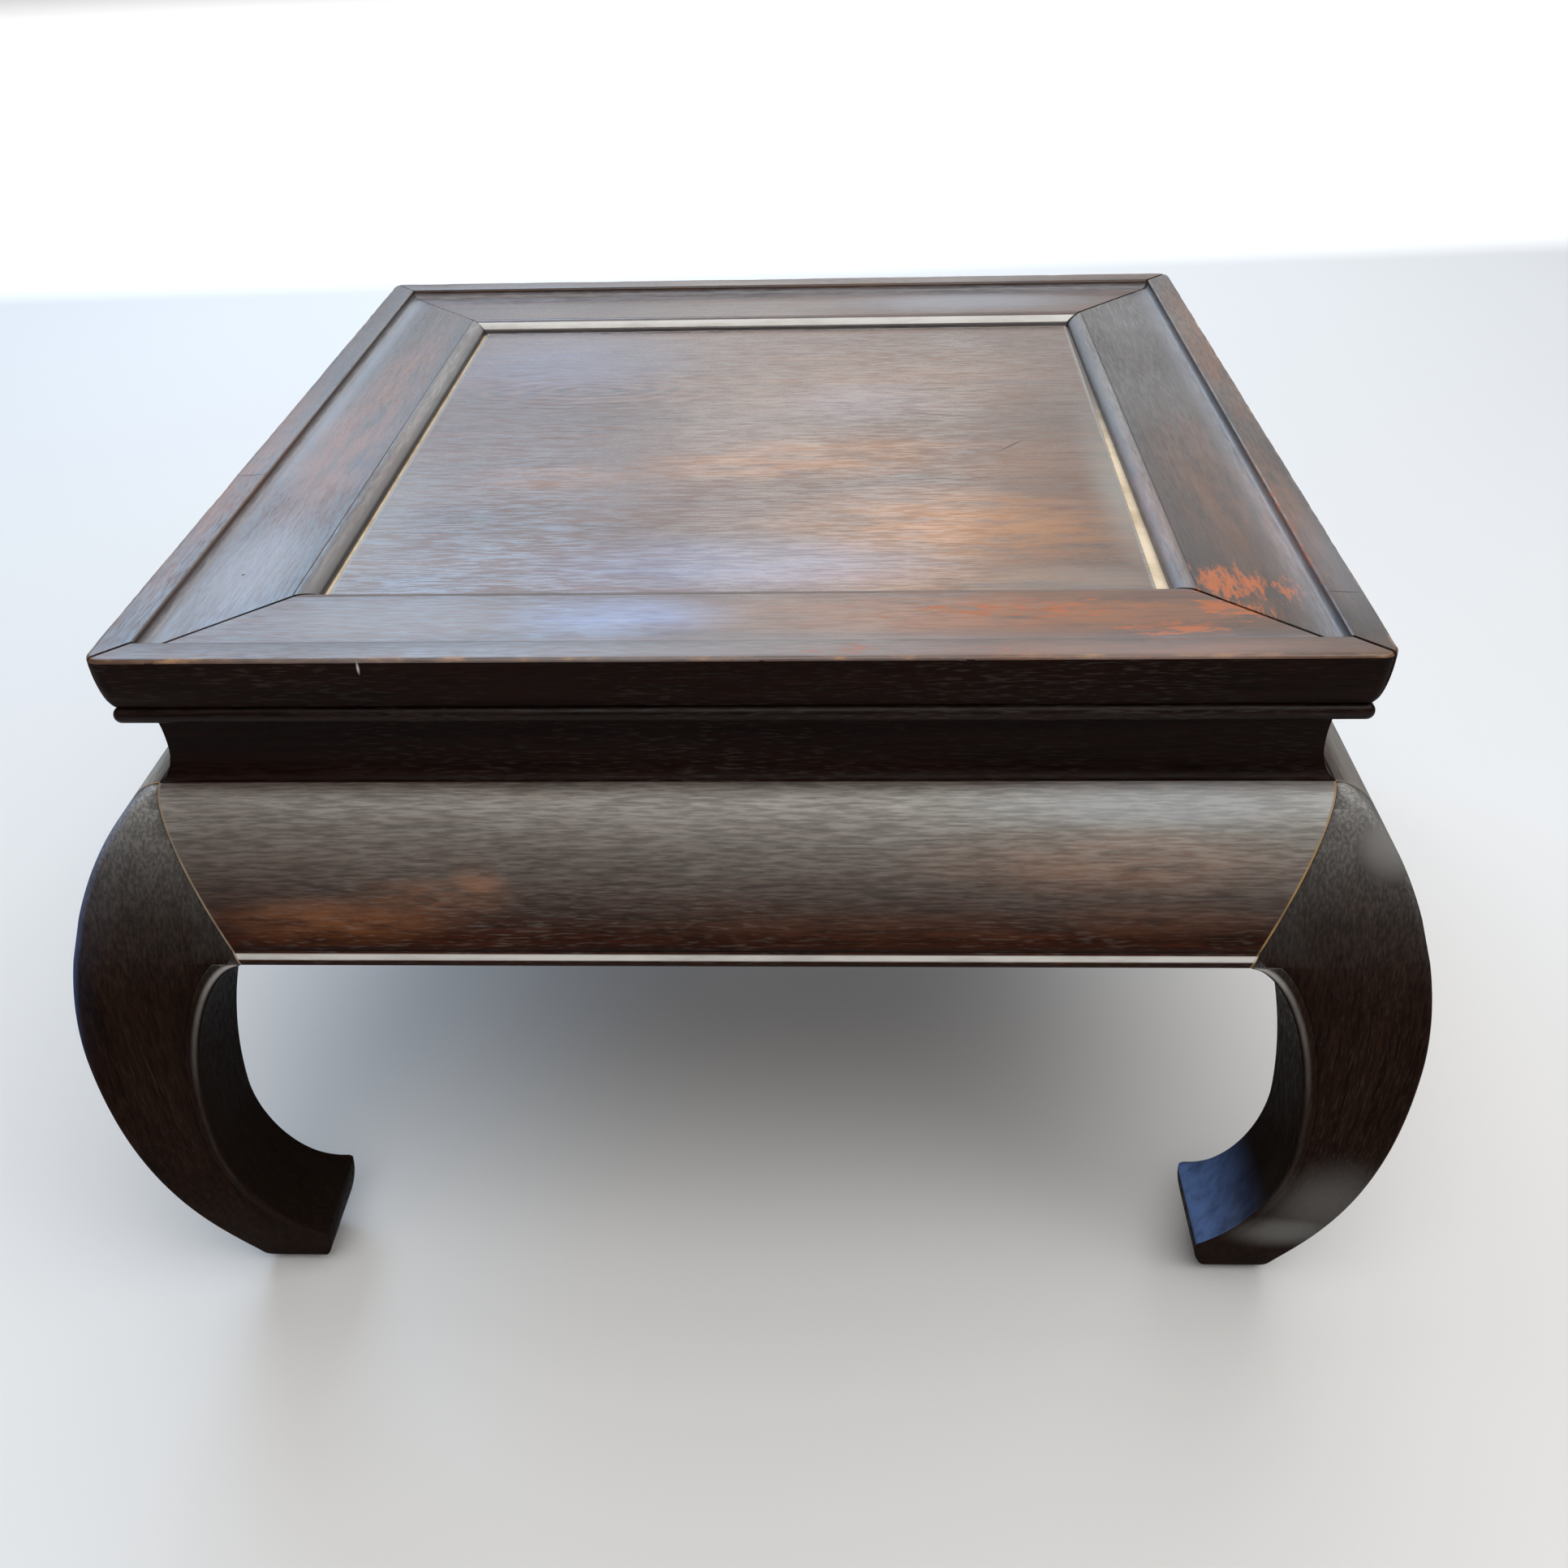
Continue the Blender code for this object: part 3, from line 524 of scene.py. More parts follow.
def leg_ring(inner, z):
    """Square section of a leg at one height: rounded arrises, a bead and quirk along both inner edges."""
    worn = max(0.0, 1.0 - z / FOOT_SOFT)
    outer = float(outer_at(z)) - FOOT_SOFT * (1.0 - math.sqrt(1.0 - worn ** 2))
    arris = arris_at(z)
    room = outer - arris - inner - 2 * BEAD_QUIRK
    on_leg = HOOF_Z < z <= APRON_FOOT
    far = float(np.interp(z, BEAD_LINE[:, 1], BEAD_LINE[:, 0])) if on_leg else inner
    width = min(max(far - inner, BEAD_W), room * 0.9)
    strength = min(1.0, (z - HOOF_Z) / BEAD_FADE) if on_leg else 0.0
    proud = BEAD_PROUD * strength
    side = [(outer + proud * bead_rise(share), inner + width * share) for share in BEAD_SHARES]
    side.append((outer - BEAD_QUIRK * strength, inner + width + BEAD_QUIRK / 2))
    start = inner + width + 2 * BEAD_QUIRK
    stop = outer - arris
    side += [(outer, start + (stop - start) * k / FLAT_STEPS) for k in range(FLAT_STEPS + 1)]
    turn = [(stop + arris * math.cos(a), stop + arris * math.sin(a)) for a in ARRIS_ARC[1:-1]]
    near = inner + 0.29 * CORNER_SOFT
    corner = [(inner, inner + CORNER_SOFT), (near, near), (inner + CORNER_SOFT, inner)]
    ring = corner + side + turn + [(v, u) for u, v in reversed(side)]
    return [(u, -v, z) for u, v in ring]


def apron_room(swap):
    """The room that one apron's end takes out of the leg's shoulder."""
    rings = []
    for z in (APRON_FOOT - FIT, APRON_HEAD + 0.010):
        end = mitre_at(z) + FIT
        back = apron_back_at(z) - FIT
        quad = ((0.0, back), (end, back), (end, BULGE_R + 0.010), (0.0, BULGE_R + 0.010))
        rings.append([(v, -u, z) if swap else (u, -v, z) for u, v in quad])
    return skin("room", rings)


def leg_mesh():
    """One leg for the front right corner, with its shoulder cut for the aprons and its head on top."""
    face = OUTER_CURVE[::-3, 1]
    shoulder = face[(face > APRON_FOOT + FLARE_H) & (face <= APRON_HEAD - SPIKE_CUT)]
    rows = [(r, z) for r, z in INNER_CURVE[::-1]]
    rows += [(CORNER_R - FIT, APRON_FOOT + FIT)] + [(HEAD_IN_R, z) for z in shoulder]
    post = skin("leg", [leg_ring(r, z) for r, z in rows])
    head = box_skin((HEAD_IN_R, -HEAD_OUT_R, APRON_HEAD - 0.010), (HEAD_OUT_R, -HEAD_IN_R, FRAME_FOOT - FIT))
    rooms = [("DIFFERENCE", apron_room(swap)) for swap in (False, True)]
    return carved(post, rooms + [("UNION", head)])


def leg_wear(co):
    """How rubbed each point of a leg is: most along the arris and the beads."""
    u, v, z = co[:, 0], -co[:, 1], co[:, 2]
    outer = outer_at(z)
    arris = np.exp(-(((outer - u) + (outer - v)) / 0.0035) ** 2)
    proud = np.clip((np.maximum(u, v) - outer) / BEAD_PROUD, 0.0, 1.0)
    foot = np.exp(-(z / 0.004) ** 2)
    return np.clip(0.55 * arris + 0.50 * proud + 0.5 * foot, 0.0, 1.0)


def settled_dust_and_sheen(facing, co):
    """Pale film on a leg's shoulder, more where the face looks up: partly settled dust, partly painted
    sheen.
    """
    return 0.95 * np.clip(facing[:, 2], 0.0, 1.0) ** 2.1 * np.clip((co[:, 2] - 0.20) / 0.07, 0.0, 1.0)


def blue_reflection_at(corner, facing, co):
    """Painted blue reflection on the right hoof's hollow and along the left leg's outer shoulder."""
    z = co[:, 2]
    if corner == "front_right":
        dust_and_sheen = np.clip(-1.4 * facing[:, 0], 0.0, 1.0) * np.clip((facing[:, 2] + 0.05) / 0.30, 0.0, 1.0)
        return dust_and_sheen * np.clip((0.085 - z) / 0.05, 0.0, 1.0)
    if corner == "front_left":
        outside = np.clip((np.minimum(co[:, 0], -co[:, 1]) - 0.235) / 0.02, 0.0, 1.0)
        return 0.45 * outside * np.clip(-facing[:, 1], 0.0, 1.0) * np.clip((z - 0.16) / 0.06, 0.0, 1.0)
    return np.zeros(len(co))


def inner_shade(facing):
    """Painted shade on the two inner faces, which the light hardly reaches."""
    return 0.6 * np.clip(1.5 * np.maximum(-facing[:, 0], facing[:, 1]), 0.0, 1.0)


def bead_highlight(co):
    """Painted highlight on the beads: pale beside the apron, less and less down the leg."""
    u, v, z = co[:, 0], -co[:, 1], co[:, 2]
    proud = np.clip((np.maximum(u, v) - outer_at(z)) / BEAD_PROUD, 0.0, 1.0)
    near = 0.02 + 0.16 * np.clip((z - 0.15) / 0.05, 0.0, 1.0) + 0.40 * np.clip((z - 0.205) / 0.02, 0.0, 1.0)
    return near * np.clip(proud * 4.0 - 3.0, 0.0, 1.0) * (z <= APRON_FOOT)


# Painted reflection and highlight: sheen on the right hoof's front and outer face, and on the right
# shoulder's outer edge.
LEG_SHEEN_SPOTS = (
    ((0.2500, -0.2680, 0.0500), (0.034, 0.020, 0.024), 0.32, 0.0),
    ((0.2620, -0.2720, 0.0800), (0.036, 0.020, 0.050), 0.20, 0.0),
    ((0.2600, -0.2560, 0.2720), (0.026, 0.030, 0.026), 0.42, 0.0),
)
LEG_DUST_AND_SHEEN = (0.400, 0.397, 0.385)
# Painted reflection: the blue laid on the right hoof's hollow and the left leg's outer shoulder.
LEG_REFLECTED_BLUE = (0.150, 0.260, 0.580)
leg_wood = stained_wood("leg wood", deep=(0.0050, 0.0029, 0.0022), warm=(0.0235, 0.0116, 0.0076), dust_and_sheen_share=0.06,
                        haze_and_sheen_spots=LEG_SHEEN_SPOTS, film_and_sheen_colour=LEG_DUST_AND_SHEEN, reflected_colour=LEG_REFLECTED_BLUE,
                        gloss=(0.30, 0.44), shine=0.002)
leg_shape = leg_mesh()
for quarter, corner in enumerate(CORNERS):
    mesh = leg_shape.copy()
    co = positions(mesh)
    mark(mesh, "plank", "FLOAT_VECTOR", co[:, [2, 0, 1]])
    mark(mesh, "worn_edge", "FLOAT", leg_wear(co))
    facing = np.empty(len(mesh.vertices) * 3, np.float32)
    mesh.vertices.foreach_get("normal", facing)
    facing = facing.reshape(-1, 3)
    # Painted sheen with the dust on the shoulders, painted blue reflection, painted shade on the inner
    # faces, painted highlight on the beads.
    mark(mesh, "dust_and_sheen", "FLOAT", settled_dust_and_sheen(facing, co))
    blue_reflection = blue_reflection_at(corner, facing, co)
    mark(mesh, "blue_reflection", "FLOAT", blue_reflection)
    mark(mesh, "grime_and_shade", "FLOAT", inner_shade(facing) * (1.0 - np.minimum(2.0 * blue_reflection, 1.0)))
    mark(mesh, "painted_highlight", "FLOAT", bead_highlight(co))
    add_piece("leg_" + corner, mesh, quarter, leg_wood, 1.7 + 3.1 * quarter)

# Aprons: four bulging boards between the legs, shaped by plane to one curve, with a bead run along the
# lower edge. Their slanting ends fit over the legs' shoulders.
SIDES = ("front", "right", "back", "left")
BOARD_STEPS = 260
JOINT_LINE_W = 0.0012
JOINT_TAN = (0.300, 0.190, 0.080)
JOINT_BROWN = (0.230, 0.175, 0.120)
END_CROWDING = 1.5
RUN_MARKS = ("along", "reach", "out", "up")


def board_tree():
    """Geometry nodes that run a closed profile into a board whose ends follow each profile point's reach."""
    tree = bpy.data.node_groups.new("board run from a profile", "GeometryNodeTree")
    tree.interface.new_socket("Profile", in_out="INPUT", socket_type="NodeSocketGeometry")
    steps = tree.interface.new_socket("Steps along", in_out="INPUT", socket_type="NodeSocketInt")
    crowd = tree.interface.new_socket("End crowding", in_out="INPUT", socket_type="NodeSocketFloat")
    timber = tree.interface.new_socket("Timber", in_out="INPUT", socket_type="NodeSocketMaterial")
    tree.interface.new_socket("Board", in_out="OUTPUT", socket_type="NodeSocketGeometry")
    given = node(tree, "NodeGroupInput")
    points = calc(tree, "ADD", given.outputs["Steps along"], 1.0)
    line = node(tree, "GeometryNodeCurvePrimitiveLine", (
        ("Start", (-1.0, 0.0, 0.0)), ("End", (1.0, 0.0, 0.0))))
    line = node(tree, "GeometryNodeResampleCurve", (("Curve", line.outputs["Curve"]), ("Count", points)))
    factor = node(tree, "GeometryNodeSplineParameter").outputs["Factor"]
    across = calc(tree, "SUBTRACT", calc(tree, "MULTIPLY", factor, 2.0), 1.0)
    rest = calc(tree, "SUBTRACT", 1.0, calc(tree, "ABSOLUTE", across))
    crowded = calc(tree, "SUBTRACT", 1.0, calc(tree, "POWER", rest, given.outputs["End crowding"]))
    along = calc(tree, "MULTIPLY", calc(tree, "SIGN", across), crowded)
    line = node(tree, "GeometryNodeStoreNamedAttribute", (
        ("Geometry", line.outputs["Curve"]), ("Name", "along"), ("Value", along)),
        data_type="FLOAT", domain="POINT")
    outline = node(tree, "GeometryNodeMeshToCurve", (("Mesh", given.outputs["Profile"]),))
    run = node(tree, "GeometryNodeCurveToMesh", (
        ("Curve", line.outputs["Geometry"]), ("Profile Curve", outline.outputs["Curve"]),
        ("Fill Caps", True)))
    read = {}
    for name in RUN_MARKS:
        found = node(tree, "GeometryNodeInputNamedAttribute", (("Name", name),), data_type="FLOAT")
        read[name] = found.outputs[0]
    spread = calc(tree, "MULTIPLY", read["along"], read["reach"])
    forward = calc(tree, "MULTIPLY", read["out"], -1.0)
    where = node(tree, "ShaderNodeCombineXYZ", (("X", spread), ("Y", forward), ("Z", read["up"])))
    run = node(tree, "GeometryNodeSetPosition", (
        ("Geometry", run.outputs["Mesh"]), ("Position", where.outputs[0])))
    run = node(tree, "GeometryNodeRealizeInstances", (("Geometry", run.outputs["Geometry"]),))
    run = node(tree, "GeometryNodeSetMaterial", (
        ("Geometry", run.outputs["Geometry"]), ("Material", given.outputs["Timber"])))
    node(tree, "NodeGroupOutput", (("Board", run.outputs["Geometry"]),))
    return tree, steps.identifier, crowd.identifier, timber.identifier


BOARD_TREE, STEPS_INPUT, CROWD_INPUT, TIMBER_INPUT = board_tree()


def board_mesh(name, profile, reach, material, steps=BOARD_STEPS):
    """A board for the front side, half its length given by reach(out, up).

    A profile row is out, up, wear, dust with painted sheen, painted highlight and painted shade; what is
    left out is nought.
    """
    rows = np.array([(*row, 0.0, 0.0, 0.0)[:6] for row in profile])
    count = len(rows)
    outline = bpy.data.meshes.new(name)
    edges = [(k, (k + 1) % count) for k in range(count)]
    outline.from_pydata([(row[0], row[1], 0.0) for row in rows], edges, [])
    mark(outline, "out", "FLOAT", rows[:, 0])
    mark(outline, "up", "FLOAT", rows[:, 1])
    mark(outline, "worn_edge", "FLOAT", rows[:, 2])
    mark(outline, "dust_and_sheen", "FLOAT", rows[:, 3])
    mark(outline, "painted_highlight", "FLOAT", rows[:, 4])
    mark(outline, "grime_and_shade", "FLOAT", rows[:, 5])
    mark(outline, "reach", "FLOAT", [reach(row[0], row[1]) for row in rows])
    work = linked("work", outline)
    modifier = work.modifiers.new("board", "NODES")
    modifier.node_group = BOARD_TREE
    modifier[STEPS_INPUT] = steps
    modifier[CROWD_INPUT] = END_CROWDING
    modifier[TIMBER_INPUT] = material
    mesh = bpy.data.meshes.new_from_object(work.evaluated_get(bpy.context.evaluated_depsgraph_get()))
    work.modifiers.remove(modifier)
    bpy.data.objects.remove(work, do_unlink=True)
    shell = bmesh.new()
    shell.from_mesh(mesh)
    bmesh.ops.remove_doubles(shell, verts=shell.verts, dist=1e-6)
    bmesh.ops.recalc_face_normals(shell, faces=shell.faces)
    shell.to_mesh(mesh)
    shell.free()
    for used in RUN_MARKS:
        if mesh.attributes.get(used):
            mesh.attributes.remove(mesh.attributes[used])
    mark(mesh, "plank", "FLOAT_VECTOR", positions(mesh))
    return mesh


def apron_profile():
    """Section of an apron: bead and quirk below, the bulging face, a flat top edge and the slanting back."""
    rows = []
    for share in BEAD_SHARES:
        z = APRON_FOOT + BEAD_W * share
        # Painted highlight along the bead's upper half; painted shade on its underside and in the quirk.
        highlight = 0.85 if 0.5 < share < 0.9 else 0.0
        grime_and_shade = 0.6 if share < 0.4 else 0.0
        rows.append((float(outer_at(z)) + BEAD_PROUD * bead_rise(share), z, 0.0, 0.0, highlight, grime_and_shade))
    quirk = APRON_FOOT + BEAD_W
    rows.append((float(outer_at(quirk)) - BEAD_QUIRK, quirk + BEAD_QUIRK / 2, 0.0, 0.0, 0.0, 1.0))
    rows.append((float(outer_at(quirk + 0.0006)), quirk + 0.0006, 0.0, 0.0, 0.0, 0.7))
    face = OUTER_CURVE[::3]
    face = face[face[:, 1] > APRON_FOOT + BEAD_W + 2 * BEAD_QUIRK][::-1]
    slope = np.gradient(face, axis=0)
    upward = -slope[:, 0] / np.hypot(slope[:, 0], slope[:, 1])
    # Pale film on the faces that look up: partly settled dust, partly painted sheen of the light above the
    # front.
    top_dust_and_sheen = 0.85 * np.clip((upward - 0.29) / 0.48, 0.0, 1.0) ** 1.1
    # Painted shade: less film at the very top, under the waist's overhang.
    top_dust_and_sheen *= 1.0 - 0.7 * np.clip((upward - 0.84) / 0.14, 0.0, 1.0)
    rows += [(r, z, 0.0, dust_and_sheen_share) for (r, z), dust_and_sheen_share in zip(face, top_dust_and_sheen)]
    return rows + [(WAIST_BACK_R, APRON_HEAD, 0.0), (APRON_BACK_R, APRON_FOOT, 0.1)]


APRON_RUBBED = (
    ((-0.165, -0.270, 0.2410), (0.065, 0.03, 0.0130), 0.52, 0.0),
    ((-0.125, -0.267, 0.2500), (0.045, 0.03, 0.0100), 0.45, 0.0),
    ((-0.106, -0.265, 0.2560), (0.016, 0.03, 0.0085), 0.60, 0.0),
    ((0.150, -0.259, 0.2640), (0.100, 0.03, 0.0170), 0.54, 0.0),
    ((0.165, -0.271, 0.2420), (0.060, 0.03, 0.0120), 0.16, 0.0),
    ((0.050, -0.271, 0.2380), (0.120, 0.03, 0.0100), 0.12, 0.0),
)
DUST_AND_SHEEN_DRIFT = 1.5
APRON_DUST_AND_SHEEN = (0.400, 0.385, 0.352)
# Painted sheen: a pale bluish band along the top of the front apron's right end.
APRON_REFLECTED_SPOTS = (((0.180, -0.248, 0.2810), (0.140, 0.02, 0.0100), 0.45, 0.0),)
APRON_REFLECTED = (0.370, 0.405, 0.450)


def apron_joint(tree, plank):
    """1 along the slanting joints with the legs, where old glue and bare wood show as a thin line."""
    parts = node(tree, "ShaderNodeSeparateXYZ", ((0, plank),))
    rise = calc(tree, "SUBTRACT", parts.outputs["Z"], APRON_FOOT)
    slope = (WAIST_FOOT_R - CORNER_R) / (APRON_HEAD - APRON_FOOT)
    half = calc(tree, "ADD", calc(tree, "MULTIPLY", rise, slope), CORNER_R)
    inset = calc(tree, "SUBTRACT", half, calc(tree, "ABSOLUTE", parts.outputs["X"]))
    patchy = fade(tree, cloud(tree, plank, 60.0, 3.0), 0.25, 0.60, 0.35, 1.0)
    line = calc(tree, "MULTIPLY", fade(tree, inset, JOINT_LINE_W, JOINT_LINE_W * 0.5), patchy)
    rightward = fade(tree, parts.outputs["X"], -0.1, 0.1)
    return line, blend_colour(tree, rightward, opaque(JOINT_BROWN), opaque(JOINT_TAN))


apron_wood = stained_wood("apron wood", deep=(0.005, 0.0015, 0.0008), warm=(0.044, 0.0110, 0.0040),
                          dust_and_sheen_share=0.22, rubbed=APRON_RUBBED, rubbed_colour=(0.230, 0.080, 0.024),
                          film_and_sheen_colour=APRON_DUST_AND_SHEEN, reflected_spots=APRON_REFLECTED_SPOTS, reflected_colour=APRON_REFLECTED,
                          gloss=(0.36, 0.50), shine=0.08, joint=apron_joint)
apron_shape = board_mesh("apron", apron_profile(), lambda r, z: mitre_at(z), apron_wood)
# Painted sheen: the film grows towards the right end, where the light is stronger.
drift = 1.0 + DUST_AND_SHEEN_DRIFT * positions(apron_shape)[:, 0]
mark(apron_shape, "dust_and_sheen", "FLOAT", marked(apron_shape, "dust_and_sheen") * drift)
for quarter, side in enumerate(SIDES):
    add_piece("apron_" + side, apron_shape.copy(), quarter, apron_wood, 14.3 + 2.3 * quarter)

# Waist: four boards with a hollow face, mitred at the corners. In the table they are tongued into the aprons
# below and the bead strips above; the tongues are left out here.
WAIST_FOOT = APRON_HEAD + FIT
WAIST_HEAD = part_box("bead_strip_front")[0].z - FIT
WAIST_TOP_R = 0.2365
WAIST_DEEP_R = 0.2339
WAIST_DEEP_Z = WAIST_FOOT + 0.43 * (WAIST_HEAD - WAIST_FOOT)
QUARTER_ARC = np.radians(np.linspace(0.0, 90.0, 13))


def mitred(r, z):
    """Half length of a board whose ends meet its neighbours at 45 degrees."""
    return r - FIT


def waist_profile():
    """Section of a waist board: hollow face in front, plain back."""
    rows = []
    for a in QUARTER_ARC[::-1]:
        rows.append((WAIST_FOOT_R - (WAIST_FOOT_R - WAIST_DEEP_R) * math.cos(a),
                     WAIST_DEEP_Z - (WAIST_DEEP_Z - WAIST_FOOT) * math.sin(a), 0.1))
    for a in QUARTER_ARC[1:]:
        rows.append((WAIST_TOP_R - (WAIST_TOP_R - WAIST_DEEP_R) * math.cos(a),
                     WAIST_DEEP_Z + (WAIST_HEAD - WAIST_DEEP_Z) * math.sin(a), 0.0))
    return rows + [(WAIST_BACK_R, WAIST_HEAD, 0.0), (WAIST_BACK_R, WAIST_FOOT, 0.0)]


waist_wood = stained_wood("waist wood", dust_and_sheen_share=0.1, gloss=(0.36, 0.52), shine=0.05)
waist_shape = board_mesh("waist", waist_profile(), mitred, waist_wood, 120)
for quarter, side in enumerate(SIDES):
    add_piece("waist_" + side, waist_shape.copy(), quarter, waist_wood, 27.1 + 1.9 * quarter)

# Bead strips: four half-round mouldings of the same dark wood between the waist and the frame, planed in
# lengths, mitred, and rounded at the corners. Their groove below for the waist's tongues is left out here.
STRIP_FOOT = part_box("bead_strip_front")[0].z
STRIP_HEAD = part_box("bead_strip_front")[1].z
STRIP_OUT_R = -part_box("bead_strip_front")[0].y
STRIP_CORNER = 0.0030


def rounded_corners(mesh, half, radius):
    """Bend a board's mitred ends round a corner of this radius, seen from above."""
    co = positions(mesh)
    centre = half - radius
    x, r = np.abs(co[:, 0]), -co[:, 1]
    near = (x > centre) & (r > centre)
    spread = r[near] - centre
    angle = np.clip((x[near] - centre) / np.maximum(spread, 1e-9), 0.0, 1.0) * math.pi / 4
    co[near, 0] = np.sign(co[near, 0]) * (centre + spread * np.sin(angle))
    co[near, 1] = -(centre + spread * np.cos(angle))
    set_positions(mesh, co)


def strip_profile():
    """Section of a bead strip: a half round in front, flat above, below and behind."""
    radius = (STRIP_HEAD - STRIP_FOOT) / 2
    centre_r, centre_z = STRIP_OUT_R - radius, STRIP_FOOT + radius
    rows = [(centre_r + radius * math.cos(a), centre_z + radius * math.sin(a), 0.35 * math.cos(a))
            for a in np.radians(np.linspace(-90.0, 90.0, 17))]
    return rows + [(WAIST_BACK_R, STRIP_HEAD, 0.0), (WAIST_BACK_R, STRIP_FOOT, 0.0)]


strip_wood = stained_wood("bead strip wood", dust_and_sheen_share=0.1, gloss=(0.30, 0.44), shine=0.12)
strip_shape = board_mesh("bead strip", strip_profile(), mitred, strip_wood, 160)
rounded_corners(strip_shape, STRIP_OUT_R, STRIP_CORNER)
for quarter, side in enumerate(SIDES):
    add_piece("bead_strip_" + side, strip_shape.copy(), quarter, strip_wood,
              35.3 + 1.3 * quarter)

# Battens: two unpolished bars dovetailed across the panel's underside and lapped into the front and back
# rails. Their solids are right as they are, so they only get their wood.
BATTEN_DEEP = (0.090, 0.048, 0.026)
BATTEN_PALE = (0.190, 0.110, 0.060)


def batten_finish():
    """Planed but unpolished hardwood, its grain running from front to back."""
    material = bpy.data.materials.new("batten wood")
    material.use_nodes = True
    tree = material.node_tree
    shader = tree.nodes["Principled BSDF"]
    place = node(tree, "ShaderNodeTexCoord").outputs["Object"]
    figure = cloud(tree, stretched(tree, place, (40.0, 4.0, 40.0)), 1.0, 4.0, 0.6, 0.5)
    grain = cloud(tree, stretched(tree, place, (420.0, 14.0, 420.0)), 1.0, 3.0, 0.6)
    tone = calc(tree, "ADD", calc(tree, "MULTIPLY", figure, 0.6), calc(tree, "MULTIPLY", grain, 0.4))
    colour = blend_colour(tree, fade(tree, tone, 0.30, 0.70), opaque(BATTEN_DEEP), opaque(BATTEN_PALE))
    tree.links.new(colour, shader.inputs["Base Color"])
    tree.links.new(fade(tree, grain, 0.2, 0.8, 0.60, 0.78), shader.inputs["Roughness"])
    bump = node(tree, "ShaderNodeBump", (("Height", grain), ("Strength", 0.3), ("Distance", 0.0004)))
    tree.links.new(bump.outputs["Normal"], shader.inputs["Normal"])
    return material


batten_wood = batten_finish()
for side in ("left", "right"):
    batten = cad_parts["batten_" + side]
    batten.data.materials.clear()
    batten.data.materials.append(batten_wood)

# Panel: one wide board, stained and polished on top, floating in the rails' groove. It has shrunk away
# from the right rail, most in front, and the bare wood of its tongue shows in the gap.
PANEL_LOW, PANEL_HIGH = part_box("top_panel")
RAIL_IN_R = 0.1790
PANEL_SHOULDER = 0.0012
PANEL_SHRINK = 0.0045
PANEL_LEFT_GAP = 0.0008
PANEL_ROUND = 0.0008
PANEL_REBATE = 0.0015
TONGUE_T = 0.0040
RAW_PALE = (0.670, 0.545, 0.390)
RAW_DEEP = (0.470, 0.360, 0.230)
RAW_IN_SHADE = (0.190, 0.165, 0.140)


def raw_wood():
    """Wood that the stain never reached."""
    material = bpy.data.materials.new("raw tongue wood")
    material.use_nodes = True
    tree = material.node_tree
    shader = tree.nodes["Principled BSDF"]
    place = node(tree, "ShaderNodeTexCoord").outputs["Object"]
    grime_and_shade = cloud(tree, place, 45.0, 4.0, 0.6)
    parts = node(tree, "ShaderNodeSeparateXYZ", ((0, place),))
    rightmost = fade(tree, parts.outputs["X"], 0.10, 0.15)
    # Painted shade: the tongue darkens towards the back of the right-hand gap, where the gap narrows.
    in_shade = calc(tree, "MULTIPLY", rightmost, fade(tree, parts.outputs["Y"], -0.03, 0.07))
    colour = blend_colour(tree, fade(tree, grime_and_shade, 0.35, 0.7), opaque(RAW_PALE), opaque(RAW_DEEP))
    tree.links.new(blend_colour(tree, in_shade, colour, opaque(RAW_IN_SHADE)), shader.inputs["Base Color"])
    tree.links.new(fade(tree, grime_and_shade, 0.2, 0.8, 0.65, 0.8), shader.inputs["Roughness"])
    return material


def panel_mesh():
    """Bottom field, tongue all round, and the raised top field with its softened edge."""
    field = RAIL_IN_R - PANEL_SHOULDER
    tongue = -PANEL_LOW.x
    tongue_top = PANEL_HIGH.z - PANEL_REBATE
    tongue_low = tongue_top - TONGUE_T
    soft = [(field - PANEL_ROUND * (1 - math.cos(a)), PANEL_HIGH.z - PANEL_ROUND * (1 - math.sin(a)))
            for a in QUARTER_ARC[::3]]
    levels = [(field, PANEL_LOW.z), (field, tongue_low), (tongue, tongue_low), (tongue, tongue_top),
              (field, tongue_top)] + soft + [(field - PANEL_ROUND - 0.002, PANEL_HIGH.z)]
    rings = []
    for spread, z in levels:
        near = PANEL_HIGH.x if spread == tongue else spread - PANEL_SHRINK
        far = PANEL_HIGH.x if spread == tongue else spread
        left = spread if spread == tongue else spread - PANEL_LEFT_GAP
        rings.append([(-left, -spread, z), (near, -spread, z), (far, spread, z), (-left, spread, z)])
    return skin("panel", rings), tongue_top


PANEL_RUBBED = (
    ((0.095, -0.110, 0.3395), (0.110, 0.060, 0.02), 1.00, 0.0),
    ((0.025, -0.030, 0.3395), (0.120, 0.040, 0.02), 0.80, 8.0),
    ((0.130, -0.040, 0.3395), (0.070, 0.060, 0.02), 0.25, 0.0),
    ((-0.095, -0.050, 0.3395), (0.070, 0.024, 0.02), 0.40, 4.0),
    ((0.080, -0.165, 0.3395), (0.120, 0.035, 0.02), 0.55, 0.0),
    ((0.060, 0.080, 0.3395), (0.150, 0.090, 0.02), 0.25, 0.0),
)
PANEL_CRACKS = (
    ((0.1270, -0.0150, 0.3395), (0.0140, 0.0005, 0.01), 0.8, 48.0),
    ((0.0920, 0.0300, 0.3395), (0.0500, 0.0004, 0.01), 0.35, -12.0),
    ((-0.1150, 0.0020, 0.3395), (0.0650, 0.0007, 0.01), 0.30, 0.0),
    ((-0.0700, 0.0120, 0.3395), (0.0900, 0.0005, 0.01), 0.20, 1.0),
)
